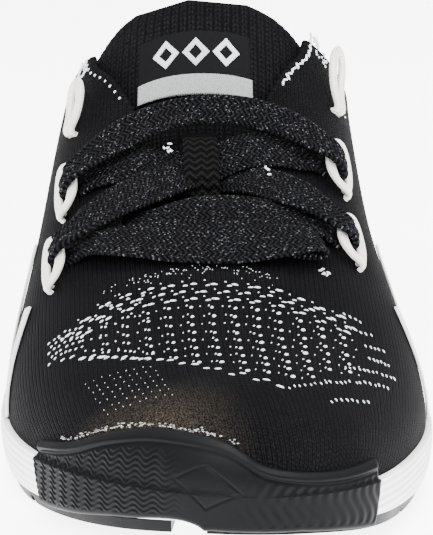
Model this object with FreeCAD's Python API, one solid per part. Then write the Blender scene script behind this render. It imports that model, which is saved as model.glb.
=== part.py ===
"""Right cheerleading shoe: knit upper with cord lace loops on a foam sole with rubber pods.

Millimetres. +Z is up, the toe points to -Y and the inner (medial) side is +X, so this is a right
shoe. The origin is on the ground under the middle of the shoe. Along the shoe, places are given as
s, the distance back from the tip of the toe. On the upper they are given as (c, s, h): c is the arc
length across from the ridge of the foot, positive to the inner side, and h the height off the skin.
"""

import FreeCAD
import Part
import functools
import math
import os

Vector = FreeCAD.Vector

# ---- Driving dimensions -------------------------------------------------------------------------
LENGTH = 272.0  # outside length of the sole
KNIT = 2.2  # thickness of the knit upper
LINING_GAP = 0.2  # between the knit and what is bonded behind it
TREAD = 2.5  # thickness of the rubber pods
BUMPER = 1.7  # thickness of the rubber round the toe
LOOP_CORD = 2.3  # diameter of the cord that the lace loops are made of
STRAP_WIDTH = 4.6
STRAP_THICK = 1.1


class Curve:
    """Smooth curve through (place, value) pairs."""

    def __init__(self, *pairs):
        self.pairs = pairs
        rises = [(b[1] - a[1]) / (b[0] - a[0]) for a, b in zip(pairs, pairs[1:])]
        inner = [(a + b) / 2.0 for a, b in zip(rises, rises[1:])]
        self.slopes = [rises[0]] + inner + [rises[-1]]

    def __call__(self, place):
        pairs = self.pairs
        i = max(0, min(len(pairs) - 2, sum(1 for p in pairs if p[0] <= place) - 1))
        (x0, y0), (x1, y1) = pairs[i], pairs[i + 1]
        w = min(max((place - x0) / (x1 - x0), 0.0), 1.0)
        rise = (y1 - y0) * w * w * (3.0 - 2.0 * w)
        start = self.slopes[i] * (x1 - x0) * w * (1.0 - w) ** 2
        end = self.slopes[i + 1] * (x1 - x0) * w * w * (1.0 - w)
        return y0 + rise + start - end


class Profile:
    """Smooth curve through values spread from the toe (t = 0) to the heel (t = 1)."""

    def __init__(self, *values):
        self.values = values
        last = len(values) - 1
        share = [0.0] * (last + 1)
        right = [0.0] * (last + 1)
        for i in range(1, last):
            pivot = 4.0 - share[i - 1]
            curve = 6.0 * (values[i + 1] - 2.0 * values[i] + values[i - 1])
            share[i] = 1.0 / pivot
            right[i] = (curve - right[i - 1]) / pivot
        self.bend = [0.0] * (last + 1)
        for i in range(last - 1, 0, -1):
            self.bend[i] = right[i] - share[i] * self.bend[i + 1]

    def __call__(self, t):
        last = len(self.values) - 1
        place = min(max(t, 0.0), 1.0) * last
        i = min(int(place), last - 1)
        b = place - i
        a = 1.0 - b
        line = a * self.values[i] + b * self.values[i + 1]
        return line + ((a**3 - a) * self.bend[i] + (b**3 - b) * self.bend[i + 1]) / 6.0


# Thirteen stations, closer together at the toe and the heel:
#                     toe                     ball              waist                          heel
INNER_EDGE = Profile(10, 25, 37, 45, 50, 48, 41, 36, 35, 35, 30.5, 17.5, -1)
OUTER_EDGE = Profile(10, -8, -25.5, -39.5, -48, -49.2, -45.2, -40.2, -37.6, -36.5, -32, -19, -1)
GROUND = Profile(5.5, 4.6, 2.6, 0.8, -0.2, -0.2, -0.2, -0.2, -0.2, -0.2, 0.2, 1.6, 3.0)
FEATHER = Profile(14, 14, 13.8, 13.6, 14.2, 16, 18.5, 20.5, 22, 23, 23.5, 24, 24)
RIDGE = Profile(14, 25, 31.5, 35.5, 42, 55, 77, 108, 122, 126, 122, 112, 24)
FULL_WIDE = Profile(2.0, 2.1, 2.2, 2.3, 2.3, 2.3, 2.3, 2.4, 2.5, 2.4, 2.2, 2.1, 2.0)
FULL_HIGH = Profile(2.0, 2.0, 2.0, 2.1, 2.2, 2.5, 2.9, 3.2, 3.4, 3.4, 3.2, 2.6, 2.2)
BELLY = Profile(0, 0, 0, 0, 0, 0, 0.8, 2.0, 2.2, 1.5, 0.5, 0, 0)
EDGE_STEP = 1.5  # the upper stands this far in from the edge of the sole
BELLY_HEIGHT = 34.0  # the soft sides stand out most this far above the sole
END_FLAT = 1.0  # the body of the upper starts and ends this far inside the length of the sole
SKIRT = 6.0  # the body is carried on this far below the edge of the sole


def station(s):
    """Share of the way from toe to heel that the profiles use for the distance s."""
    return math.acos(1.0 - 2.0 * min(max(s / LENGTH, 0.0), 1.0)) / math.pi


def distance(t):
    return LENGTH * (1.0 - math.cos(math.pi * t)) / 2.0


def at(x, s, z):
    """A point of the row frame from x, the distance from the toe and the height."""
    return Vector(x, s - LENGTH / 2.0, z)


# ---- Skin of the upper --------------------------------------------------------------------------
def skin(t, v):
    """Outside of the upper at station t: v runs from -1 (outer edge) over the ridge to 1 (inner)."""
    angle = (1.0 - v) * math.pi / 2.0
    middle = (INNER_EDGE(t) + OUTER_EDGE(t)) / 2.0
    half = (INNER_EDGE(t) - OUTER_EDGE(t)) / 2.0
    half = half * half / (half + EDGE_STEP)
    rise = max(RIDGE(t) - FEATHER(t), 0.01)
    across = math.copysign(abs(math.cos(angle)) ** (2.0 / FULL_WIDE(t)), math.cos(angle))
    up = rise * abs(math.sin(angle)) ** (2.0 / FULL_HIGH(t))
    belly = BELLY(t) * math.sin(min(up / BELLY_HEIGHT, 2.0) * math.pi / 2.0)
    return at(middle + across * (half + belly), distance(t), FEATHER(t) + up)


def skin_normal(t, v):
    step = 1e-4
    t = min(max(t, 0.006), 0.994)
    v = min(max(v, -0.999), 0.999)
    along = skin(t + step, v) - skin(t - step, v)
    round_ = skin(t, v + step) - skin(t, v - step)
    normal = along.cross(round_)
    normal.normalize()
    return -normal


def offset_skin(t, v, h):
    return skin(t, v) + skin_normal(t, v) * h


RIDGE_STEPS = 60


@functools.lru_cache(maxsize=4096)
def section_arcs(t):
    """Arc length from the ridge to each of the evenly spaced v of a section, outer side first."""
    points = [skin(t, i / RIDGE_STEPS) for i in range(-RIDGE_STEPS, RIDGE_STEPS + 1)]
    arcs = [0.0]
    for a, b in zip(points, points[1:]):
        arcs.append(arcs[-1] + (b - a).Length)
    return [a - arcs[RIDGE_STEPS] for a in arcs]


def chart(c, s, h):
    """Point h off the skin, at arc length c across from the ridge and distance s from the toe."""
    t = station(s)
    arcs = section_arcs(round(t, 6))
    i = max(0, min(len(arcs) - 2, sum(1 for a in arcs if a <= c) - 1))
    part = (c - arcs[i]) / (arcs[i + 1] - arcs[i])
    v = min(max((i + part) / RIDGE_STEPS - 1.0, -1.0), 1.0)
    return offset_skin(t, v, h)


def arc_to(x, s, h):
    """Arc length from the ridge to the point, h off the skin, that lies at x across the shoe."""
    low, high = -60.0, 60.0
    for _ in range(24):
        middle = (low + high) / 2.0
        if chart(middle, s, h).x < x:
            low = middle
        else:
            high = middle
    return low


# ---- Solids from curved sheets ------------------------------------------------------------------
def spread(low, high, count):
    return [low + (high - low) * i / (count - 1) for i in range(count)]


def eased(row):
    """Control points of a cubic spline that passes, to within its curvature, through the row."""
    inner = [b * (8.0 / 6.0) - (a + c) * (1.0 / 6.0) for a, b, c in zip(row, row[1:], row[2:])]
    return [row[0]] + inner + [row[-1]]


def sheet(point, us, vs):
    """Smooth surface through a dense grid of points."""
    rows = [eased([point(u, v) for v in vs]) for u in us]
    columns = [eased(list(column)) for column in zip(*rows)]
    poles = [list(row) for row in zip(*columns)]
    knots = [[float(i) for i in range(len(line) - 2)] for line in (us, vs)]
    mults = [[4] + [1] * (len(line) - 2) + [4] for line in knots]
    surface = Part.BSplineSurface()
    surface.buildFromPolesMultsKnots(poles, mults[0], mults[1], knots[0], knots[1], False, False, 3, 3)
    return surface.toShape()


def closed(faces):
    shell = Part.makeShell(faces)
    shell.sewShape()
    solid = Part.makeSolid(shell)
    if solid.Volume < 0:
        solid.reverse()
    return solid


def slab(point, us, vs, low, high):
    """Solid between the heights low and high of the patch point(u, v, h)."""
    under = sheet(lambda u, v: point(u, v, low), us, vs)
    over = sheet(lambda u, v: point(u, v, high), us, vs)
    walls = [Part.makeRuledSurface(a, b) for a, b in zip(under.Edges, over.Edges)]
    return closed([under, over] + walls)


def smooth_edge(points, loop=False):
    curve = Part.BSplineCurve()
    curve.interpolate(points, PeriodicFlag=loop)
    return curve.toShape()


def polygon_face(points):
    return Part.Face(Part.makePolygon(points + points[:1]))


def band(low, high, near=-12.0, far=LENGTH + 12.0):
    """Everything between two heights that change along the shoe, whatever the x."""
    ss = spread(near, far, 40)
    under = [at(-80.0, s, low(s)) for s in ss]
    over = [at(-80.0, s, high(s)) for s in ss]
    ends = [Part.makeLine(under[-1], over[-1]), Part.makeLine(over[0], under[0])]
    wire = Part.Wire([smooth_edge(under), ends[0], smooth_edge(over), ends[1]])
    return Part.Face(wire).extrude(Vector(160.0, 0.0, 0.0))


def plan_prism(points, low, high):
    """Straight-sided prism over a plan outline given as (x, s) corners."""
    return polygon_face([at(x, s, low) for x, s in points]).extrude(Vector(0, 0, high - low))


def front_prism(corners, near, far):
    """Prism along the shoe over an outline given as (x, z) points."""
    edge = smooth_edge([at(x, near, z) for x, z in corners], loop=True)
    return Part.Face(Part.Wire([edge])).extrude(Vector(0, far - near, 0))


def feather_height(s):
    return FEATHER(station(s))


def ground_height(s):
    return GROUND(station(s))


def skin_at_plane(s, v, h):
    """Point of the skin moved out by h that lies exactly at the distance s from the toe."""
    near, far = 0.01, 0.99
    for _ in range(30):
        t = (near + far) / 2.0
        if offset_skin(t, v, h).y + LENGTH / 2.0 < s:
            near = t
        else:
            far = t
    point = offset_skin(t, v, h)
    return at(point.x, s, point.z)


@functools.lru_cache(maxsize=32)
def dome(h, first=None, last=None):
    """Solid inside the skin moved out by h, with a straight skirt below the edge of the sole."""
    first = END_FLAT - h if first is None else first
    last = LENGTH - END_FLAT + h if last is None else last
    rows = [(SKIRT * k / 3.0, -1.0) for k in (3, 2, 1)]
    rows += [(0.0, math.sin(math.pi / 2.0 * w)) for w in spread(-1.0, 1.0, 35)]
    rows += [(SKIRT * k / 3.0, 1.0) for k in (1, 2, 3)]
    t0, t1 = station(first), station(last)
    ss = [first] + [distance(t) for t in spread(t0, t1, 38)[1:-1]] + [last]

    def point(s, row):
        return skin_at_plane(s, row[1], h) - Vector(0, 0, row[0])

    skin_face = sheet(point, ss, rows)
    left, toe, right, heel = sorted_edges(skin_face, first, last)
    floor = Part.makeRuledSurface(left, right)
    caps = [Part.Face(Part.Wire([arch, sill(arch)])) for arch in (toe, heel)]
    return closed([skin_face, floor] + caps)


def sill(arch):
    return Part.makeLine(arch.Vertexes[-1].Point, arch.Vertexes[0].Point)


def sorted_edges(face, first, last):
    """Edges of the skin face: outer side, toe, inner side, heel."""
    ends = sorted(face.Edges, key=lambda edge: edge.BoundBox.YLength)[:2]
    toe, heel = sorted(ends, key=lambda edge: edge.BoundBox.YMin)
    sides = [e for e in face.Edges if not (e.isSame(toe) or e.isSame(heel))]
    left, right = sorted(sides, key=lambda edge: edge.BoundBox.XMin)
    return left, toe, right, heel


# ---- Sole ---------------------------------------------------------------------------------------
def outline(turn, inset):
    """Edge of the sole: turn runs 0 to 1 back along the inner side, 1 to 2 forward on the outer."""

    def edge(a):
        a = a % 2.0
        t, side = (a, INNER_EDGE) if a <= 1.0 else (2.0 - a, OUTER_EDGE)
        return Vector(side(t), distance(t), 0.0)

    step = 2e-3
    tangent = edge(turn + step) - edge(turn - step)
    tangent.normalize()
    outward = Vector(tangent.y, -tangent.x, 0.0)
    return edge(turn) - outward * inset


def sole_block(inset, levels):
    """Loft of the sole's outline over (height, further inset) levels."""
    wires = []
    for z, more in levels:
        turns = spread(0.0, 2.0, 45)[:-1]
        points = [outline(a, inset + more) for a in turns]
        wires.append(Part.Wire([smooth_edge([at(p.x, p.y, z) for p in points], loop=True)]))
    return Part.makeLoft(wires, True)


SIDEWALL = [(-4, 4.2), (2, 1.9), (6, 0.6), (11, 0.0), (17, 0.2), (24, 1.0), (32, 2.0)]
GROOVE_EDGES = (-9.5, -1.5)  # flex groove between the two forefoot pods, at the toe
GROOVE_BACK = (-6.0, -2.0)  # the same groove where the pods end
POD_FRONT = 122.0  # forefoot pods end here
POD_HEEL = 178.0  # heel pod begins here


def make_midsole():
    block = sole_block(0.0, SIDEWALL)

    def bottom(s):
        arch = math.exp(-(((s - (POD_FRONT + POD_HEEL) / 2.0) / 24.0) ** 2))
        return ground_height(s) + TREAD + 2.5 * arch

    return block.common(band(bottom, feather_height))


def tread_layer():
    block = sole_block(0.5, SIDEWALL)
    flat = Part.makeBox(200, 400, 60, Vector(-100, -200, 0.0))
    layer = band(lambda s: ground_height(s), lambda s: ground_height(s) + TREAD)
    return block.common(layer).common(flat)


def flex_slots(ss, lean):
    """Slots across the pods, 1.2 mm deep, that let the rubber bend with the foot."""
    slots = []
    for s in ss:
        slot = Part.makeBox(140, 2.4, 1.2 + 5.0, Vector(-70, -1.2, -5.0))
        slot.rotate(Vector(0, 0, 0), Vector(0, 0, 1), lean)
        slot.translate(at(0, s, ground_height(s)))
        slots.append(slot)
    return Part.makeCompound(slots)


def make_pods(midsole):
    layer = tread_layer()
    outer_groove, inner_groove = GROOVE_EDGES
    outer_back, inner_back = GROOVE_BACK
    outer_plan = [(-70, -5), (outer_groove, -5), (outer_back, POD_FRONT - 8), (-70, POD_FRONT)]
    inner_plan = [(inner_groove, -5), (70, -5), (70, POD_FRONT - 14), (inner_back, POD_FRONT - 8)]
    heel_front = [(-70, POD_HEEL + 4), (-12, POD_HEEL), (12, POD_HEEL), (70, POD_HEEL + 8)]
    heel_plan = heel_front + [(70, 290), (-70, 290)]
    heel_groove = [(-3, POD_HEEL - 2), (3, POD_HEEL - 2), (2, 246), (-2, 246)]
    pods = {
        "outsole_forefoot_outer": layer.common(plan_prism(outer_plan, -5, 30)),
        "outsole_forefoot_inner": layer.common(plan_prism(inner_plan, -5, 30)),
        "outsole_heel": layer.common(plan_prism(heel_plan, -5, 30)).cut(plan_prism(heel_groove, -5, 30)),
    }
    slots = flex_slots((44, 64, 84, 104), -9)
    heel_slots = flex_slots((200, 222, 244), 0)
    for name, pod in pods.items():
        pods[name] = pod.cut(heel_slots if name == "outsole_heel" else slots).cut(midsole)
    return pods


# ---- Rubber toe bumper --------------------------------------------------------------------------
TOE_CENTRE = (2.0, 60.0)  # the bumper is laid out round this point
BUMPER_CLEAR = 0.4  # the bumper ends this far above the tread
BUMPER_FACE = [  # outline seen from the front, (x, z)
    (-44.0, 12.6), (-36.0, 16.5), (-27.0, 20.5), (-20.0, 25.5), (-11.0, 27.2), (-2.0, 26.2),
    (5.0, 22.5), (11.0, 18.6), (20.0, 17.4), (29.0, 18.0), (37.0, 18.8), (39.5, 15.0),
    (37.0, 7.0), (33.0, 0.5), (10.0, -2.0), (0.5, 3.0), (-4.0, 9.5), (-20.0, 8.2), (-38.0, 4.5),
]  # fmt: skip


def inside_body(x, s, z):
    """Whether a point of the toe end lies within the sole or the skin of the upper."""
    if s <= 0.0:
        return False
    t = station(s)
    inner, outer = INNER_EDGE(t), OUTER_EDGE(t)
    if z <= FEATHER(t):
        return outer < x < inner
    middle, half = (inner + outer) / 2.0, (inner - outer) / 2.0
    half = half * half / (half + EDGE_STEP)
    up = (z - FEATHER(t)) / max(RIDGE(t) - FEATHER(t), 0.01)
    return up < 1.0 and abs((x - middle) / half) ** FULL_WIDE(t) + up ** FULL_HIGH(t) < 1.0


def toe_reach(angle, z):
    """Distance from the toe centre to the outside of the body, at height z."""
    near, far = 0.0, 90.0
    for _ in range(40):
        middle = (near + far) / 2.0
        x = TOE_CENTRE[0] + middle * math.sin(angle)
        s = TOE_CENTRE[1] - middle * math.cos(angle)
        if inside_body(x, s, z):
            near = middle
        else:
            far = middle
    return near


def make_bumper(solids_behind):
    def point(angle, z, h):
        reach = toe_reach(angle, z) + h
        return at(TOE_CENTRE[0] + reach * math.sin(angle), TOE_CENTRE[1] - reach * math.cos(angle), z)

    angles = [math.radians(a) for a in spread(-78, 66, 37)]
    blank = slab(point, angles, spread(0.5, 29.5, 15), -2.2, BUMPER)
    clear_of_ground = band(lambda s: ground_height(s) + BUMPER_CLEAR, lambda s: 60.0)
    bumper = blank.common(front_prism(BUMPER_FACE, -10.0, 52.0)).common(clear_of_ground)
    for solid in solids_behind:
        bumper = bumper.cut(solid)
    return largest(bumper)


def largest(shape):
    return max(shape.Solids, key=lambda solid: solid.Volume)


# ---- Upper --------------------------------------------------------------------------------------
THROAT = Curve(  # half width of the opening that the tongue fills, by distance s
    (97, 8.0), (104, 10.8), (116, 13.8), (130, 15.6), (140, 17.3),
    (150, 22.0), (158, 26.0), (168, 27.0), (174, 26.0),
)  # fmt: skip
THROAT_FRONT, THROAT_BACK = 97.0, 174.0
THROAT_SHIFT = -1.5  # the opening and the tongue sit this far to the outer side
COLLAR = Curve(  # height of the collar on the inner side, by distance s
    (140, 116), (160, 94), (168, 85), (180, 77.5), (198, 71),
    (215, 68), (235, 69), (254, 73), (266, 76), (285, 79),
)  # fmt: skip
COLLAR_DROP = 4.0  # the collar is this much lower on the outer side


def throat_middle(s):
    t = station(s)
    return (INNER_EDGE(t) + OUTER_EDGE(t)) / 2.0 + THROAT_SHIFT


def throat_prism():
    ss = spread(THROAT_FRONT, THROAT_BACK, 14)
    inner = [at(throat_middle(s) + THROAT(s), s, 38.0) for s in ss]
    outer = [at(throat_middle(s) - THROAT(s), s, 38.0) for s in ss]
    tip = at(throat_middle(THROAT_FRONT), THROAT_FRONT - 3.0, 38.0)
    front = Part.Arc(outer[0], tip, inner[0]).toShape()
    back = Part.makeLine(inner[-1], outer[-1])
    wire = Part.Wire([front, smooth_edge(inner), back, smooth_edge(outer[::-1])])
    return Part.Face(wire).extrude(Vector(0, 0, 120))


def above_collar(drop=0.0):
    """Everything over the collar line, lower on the outer side and moved down by drop."""

    def point(s, x):
        share = 0.5 - 0.5 * math.tanh(x / 16.0)
        return at(x, s, COLLAR(s) - drop - COLLAR_DROP * share)

    under = sheet(point, spread(140, 285, 24), spread(-80, 80, 17))
    return under.extrude(Vector(0, 0, 130))


def make_upper(outer_dome, inner_dome, above_feather):
    shell = outer_dome.cut(inner_dome).common(above_feather)
    return largest(shell.cut(throat_prism()).cut(above_collar()))


def between(outer_h, inner_h, first=None, last=None):
    """Layer of the upper's thickness between two depths below the skin."""
    return dome(outer_h, first, last).cut(dome(inner_h, first, last))


def block(s0, s1, z0, z1):
    return Part.makeBox(160, s1 - s0, z1 - z0, at(-80, s0, z0))


PAD_FRONT = 172.0
PAD_DEPTH = 30.0
PAD_OUT = -3.7
PAD_IN = -8.2


def make_inside(above_feather):
    """What is hidden in the upper: toe puff, heel counter, eyestays, collar pad and lining."""
    film = between(-KNIT - LINING_GAP, -KNIT - LINING_GAP - 0.8).common(above_feather)
    low = above_collar(4.0)
    puff = film.common(block(-5, 34, 21.5, 60))
    counter = film.common(block(214, 290, 26.0, 64)).cut(low)
    pad_layer = between(PAD_OUT, PAD_IN).common(block(PAD_FRONT, 290, 40, 120))
    band_low = above_collar(PAD_DEPTH)
    pad = pad_layer.common(band_low).cut(above_collar(2.0))
    lining = between(PAD_IN - 0.1, PAD_IN - 1.0).common(block(PAD_FRONT, 290, 40, 120))
    lining = lining.cut(above_collar(1.2)).common(above_collar(PAD_DEPTH + 6.0))
    eyestays = {}
    for name, side in (("eyestay_inner", 1), ("eyestay_outer", -1)):
        def point(s, k, h, side=side):
            width = THROAT(s) + 4.0 + 10.0 * k
            return chart(side * width, s, h)
        depth = -KNIT - LINING_GAP
        eyestays[name] = slab(point, spread(96, 146, 11), spread(0, 1, 5), depth - 0.7, depth)
    return {
        "toe_puff": largest(puff),
        "heel_counter": largest(counter),
        "collar_foam": largest(pad),
        "collar_lining": largest(lining),
        **eyestays,
    }


def make_footbed():
    """Stitched board that closes the upper, and the foam footbed with its cloth on top."""

    def plate(inset, low, high):
        levels = [(0.0, 0.0), (60.0, 0.0)]
        shape = sole_block(inset + EDGE_STEP + KNIT, levels)
        return shape.common(band(lambda s: feather_height(s) + low, lambda s: feather_height(s) + high))

    return {
        "strobel_board": plate(0.5, 0.0, 1.4),
        "footbed_foam": plate(1.6, 1.4, 5.6),
        "footbed_cloth": plate(1.6, 5.6, 6.4),
    }


# ---- Tongue -------------------------------------------------------------------------------------
TONGUE_FRONT = 92.0
TONGUE_BEND = 141.0  # the flap folds here, just above the laces
TONGUE_TOP = 164.5
TONGUE_LOW = -7.4
TONGUE_HIGH = -2.8
BODY_DROP = 1.0  # the part under the laces lies this much deeper
FLAP_CLEAR = 2.4  # the flap is this much narrower than the opening, on each side
LABEL = (142.5, 156.6, -16.6, 12.9)  # s from, s to, c from, c to
LABEL_THICK = 0.6
KEEPER_WIDTH = 8.6
KEEPER_THICK = 0.9
KEEPER_RISE = Curve((111.5, 0.0), (114.5, 3.4), (121, 4.4), (127, 3.6), (131.5, 0.0))


def make_tongue():
    def lower(s, k, h):
        width = 12.0 + 8.5 * (s - TONGUE_FRONT) / (TONGUE_BEND - TONGUE_FRONT)
        return chart(THROAT_SHIFT + width * k, s, h - BODY_DROP)

    def flap(s, k, h):
        reach = (s - TONGUE_BEND) / (TONGUE_TOP - TONGUE_BEND)
        back = s - 3.0 * reach * reach * k**6
        half = min(THROAT(s), THROAT(158)) - FLAP_CLEAR
        return chart(arc_to(throat_middle(s) + half * k, back, TONGUE_HIGH), back, h)

    ks = spread(-1, 1, 13)
    body = slab(lower, spread(TONGUE_FRONT, TONGUE_BEND - 1.2, 16), ks, TONGUE_LOW, TONGUE_HIGH)
    top = slab(flap, spread(TONGUE_BEND, TONGUE_TOP, 9), ks, TONGUE_LOW, TONGUE_HIGH)
    return {"tongue_body": body, "tongue_flap": top}


def make_tongue_trim():
    low = TONGUE_HIGH + 0.1
    s0, s1, c0, c1 = LABEL
    field = spread(s0, s1, 7), spread(c0, c1, 9)
    label = slab(lambda s, c, h: chart(c, s, h), *field, low, low + LABEL_THICK)

    def strap(s, k, h):
        return chart(THROAT_SHIFT + KEEPER_WIDTH / 2.0 * k, s, h + KEEPER_RISE(s) - BODY_DROP)

    keeper = slab(strap, spread(111.5, 131.5, 17), spread(-1, 1, 5), low, low + KEEPER_THICK)
    return {"tongue_label": label, "lace_keeper": keeper}


# ---- Lace loops and their straps ----------------------------------------------------------------
LOOPS = {  # loop: (c, s) of its feet, (c, s) and height of its tip, and whether the lace runs in it
    "low_outer": ((-41.5, 92.0), (-35.0, 99.5), 3.4, True),
    "low_inner": ((38.0, 96.5), (30.8, 103.0), 3.4, True),
    "mid_outer": ((-38.5, 117.5), (-32.0, 123.5), 3.4, True),
    "mid_inner": ((38.8, 124.0), (30.5, 128.5), 3.4, True),
    "top_outer": ((-38.0, 144.5), (-33.0, 155.5), 4.4, False),
    "top_inner": ((41.0, 151.0), (39.0, 163.5), 5.4, False),
}
LOOP_FOOT = 1.5  # height of the middle of the cord where it comes out of the seam
LACED_SHAPE = [  # (share of the way from feet to tip, sideways, lift) round a loop spread by the lace
    (0, -1.3, 0), (0.45, -3.2, 0), (0.84, -4.6, 0), (1.02, -3.4, 0), (1.05, 0, 0.2),
    (1.02, 3.4, 1.4), (0.84, 5.2, 2.8), (0.45, 4.2, 2.4), (0, 1.3, 0),
]  # fmt: skip
FREE_SHAPE = [  # the same for a loop that stands free
    (0, -1.3, 0), (0.3, -2.2, 0), (0.68, -2.9, 0), (0.93, -1.9, 0), (1.03, 0, 0),
    (0.93, 1.9, 0), (0.68, 2.9, 0), (0.3, 2.2, 0), (0, 1.3, 0),
]  # fmt: skip


def loop_path(name):
    """Middle of the cord of one lace loop, as chart places, from foot round to foot."""
    (c0, s0), (c1, s1), top, laced = LOOPS[name]
    length = math.hypot(c1 - c0, s1 - s0)
    across = (0.0, 1.0) if laced else ((s1 - s0) / length, (c0 - c1) / length)
    places = []
    for share, side, lift in LACED_SHAPE if laced else FREE_SHAPE:
        c = c0 + (c1 - c0) * share + across[0] * side
        s = s0 + (s1 - s0) * share + across[1] * side
        places.append((c, s, LOOP_FOOT + (top - LOOP_FOOT) * share**1.5 + lift))
    return places


def cord(points, diameter):
    """Round cord swept along a smooth line through points."""
    spine = Part.Wire([smooth_edge(points)])
    direction = spine.Edges[0].tangentAt(spine.Edges[0].FirstParameter)
    disc = Part.Wire([Part.makeCircle(diameter / 2.0, points[0], direction)])
    swept = spine.makePipeShell([disc], True, True)
    return swept.Solids[0]


def make_loops():
    return {f"lace_loop_{name}": cord([chart(*p) for p in loop_path(name)], LOOP_CORD) for name in LOOPS}


# ---- Lace ---------------------------------------------------------------------------------------
LACE_PATH = [  # (c, s, h, lean, roll, width, thick): lean and roll turn the width of the lace
    (14.2, 91.4, 1.2, -16, 0, 4.4, 1.3),
    (17.0, 92.1, 1.2, -18, 0, 6.6, 1.3),
    (20.0, 93.0, 1.2, -20, 0, 7.8, 1.3),
    (22.8, 93.8, 1.5, -20, 0, 8.0, 1.3),
    (24.8, 94.4, 2.9, -20, 0, 8.0, 1.3),
    (22.8, 93.4, 4.5, -21, 0, 8.4, 1.3),
    (19.5, 92.1, 4.7, -20, 2, 9.4, 1.3),
    (14.5, 90.8, 4.4, -14, 10, 10.4, 1.3),
    (8.0, 89.8, 3.6, -6, 18, 10.8, 1.3),
    (0.0, 89.6, 3.2, 2, 20, 10.8, 1.3),
    (-8.0, 90.5, 3.2, 8, 18, 10.8, 1.3),
    (-15.0, 92.1, 3.2, 14, 8, 10.6, 1.3),
    (-21.5, 94.3, 3.2, 17, 0, 9.8, 1.3),
    (-27.0, 96.6, 3.0, 15, 0, 8.4, 1.5),
    (-31.4, 98.6, 1.6, 8, 0, 6.8, 1.7),
    (-35.0, 99.4, 1.2, 2, 0, 6.8, 1.7),
    (-37.4, 99.6, 3.4, 0, 0, 6.8, 1.7),
    (-35.0, 99.9, 5.6, -6, 0, 6.8, 1.7),
    (-31.0, 101.2, 5.5, -24, 0, 8.0, 1.6),
    (-24.0, 105.4, 4.8, -33, 0, 10.2, 1.3),
    (-16.0, 110.8, 2.9, -35, 0, 11.0, 1.3),
    (-8.0, 116.4, 0.5, -34, 0, 10.4, 1.3),
    (0.0, 121.0, -1.5, -25, 0, 9.6, 1.3),
    (7.0, 123.6, 0.3, -16, 0, 9.8, 1.3),
    (14.0, 125.6, 1.1, -14, 0, 10.0, 1.3),
    (21.0, 127.1, 1.1, -10, 0, 9.6, 1.3),
    (26.5, 128.1, 1.3, -6, 0, 8.2, 1.6),
    (30.5, 128.5, 1.2, -2, 0, 6.8, 1.7),
    (33.1, 128.6, 3.4, 0, 0, 6.8, 1.7),
    (30.5, 128.8, 5.6, 6, 0, 6.8, 1.7),
    (26.0, 129.8, 5.5, 14, 2, 8.2, 1.5),
    (18.0, 132.0, 4.6, 13, 14, 9.2, 1.3),
    (9.0, 133.9, 3.8, 7, 24, 9.6, 1.3),
    (0.0, 134.4, 3.5, -4, 28, 9.6, 1.3),
    (-9.0, 132.8, 3.8, -14, 24, 9.6, 1.3),
    (-18.0, 129.4, 4.6, -21, 14, 9.2, 1.3),
    (-27.0, 125.4, 5.5, -22, 2, 8.2, 1.5),
    (-32.0, 123.8, 5.6, -8, 0, 6.8, 1.7),
    (-34.6, 123.5, 3.4, 0, 0, 6.8, 1.7),
    (-32.0, 123.4, 1.2, 0, 0, 6.8, 1.7),
    (-27.5, 123.1, 1.3, 4, 0, 8.0, 1.6),
    (-21.5, 122.9, 1.1, 0, 0, 9.4, 1.3),
    (-16.5, 122.9, 0.9, 0, 0, 9.8, 1.3),
    (-11.0, 122.9, -1.8, 4, 0, 9.6, 1.3),
    (-5.0, 122.4, -3.0, 14, 0, 9.4, 1.3),
    (0.0, 121.0, -3.05, 25, 0, 9.2, 1.3),
    (5.0, 118.8, -2.4, 30, 0, 9.4, 1.3),
    (10.5, 115.6, 0.8, 33, 0, 9.8, 1.3),
    (15.5, 112.2, 3.0, 34, 0, 10.6, 1.3),
    (21.0, 108.6, 4.8, 33, 0, 9.8, 1.3),
    (26.5, 104.9, 5.5, 24, 0, 8.0, 1.6),
    (30.8, 103.2, 5.6, 6, 0, 6.8, 1.7),
    (33.4, 103.0, 3.4, 0, 0, 6.8, 1.7),
    (30.8, 102.9, 1.2, 0, 0, 6.8, 1.7),
    (28.0, 102.8, 1.8, 2, 0, 7.8, 1.6),
    (24.0, 102.5, 2.8, 4, 0, 8.4, 1.4),
    (18.0, 101.8, 2.8, 6, 0, 9.4, 1.3),
    (12.0, 101.2, 2.8, 4, 6, 10.0, 1.3),
    (6.0, 100.8, 2.8, 2, 14, 10.0, 1.3),
    (0.0, 100.6, 2.7, 0, 16, 10.0, 1.3),
    (-6.0, 100.7, 2.4, -2, 12, 9.4, 1.3),
    (-12.0, 101.2, 1.7, -6, 4, 8.2, 1.3),
    (-17.0, 102.0, 1.1, -12, 0, 6.4, 1.3),
    (-20.5, 103.0, 1.1, -18, 0, 4.4, 1.3),
]  # fmt: skip
AGLET_LENGTH = 13.0
AGLET_WIDTH = 4.4
AGLET_THICK = 1.9
AGLETS = {  # (c, s) of the mouth, and the way it runs from there over the skin
    "inner": (14.0, 91.4, -1.0, -0.08),
    "outer": (-20.7, 103.1, -1.0, 0.42),
}


def lace_line(index):
    return Profile(*[node[index] for node in LACE_PATH])


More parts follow.
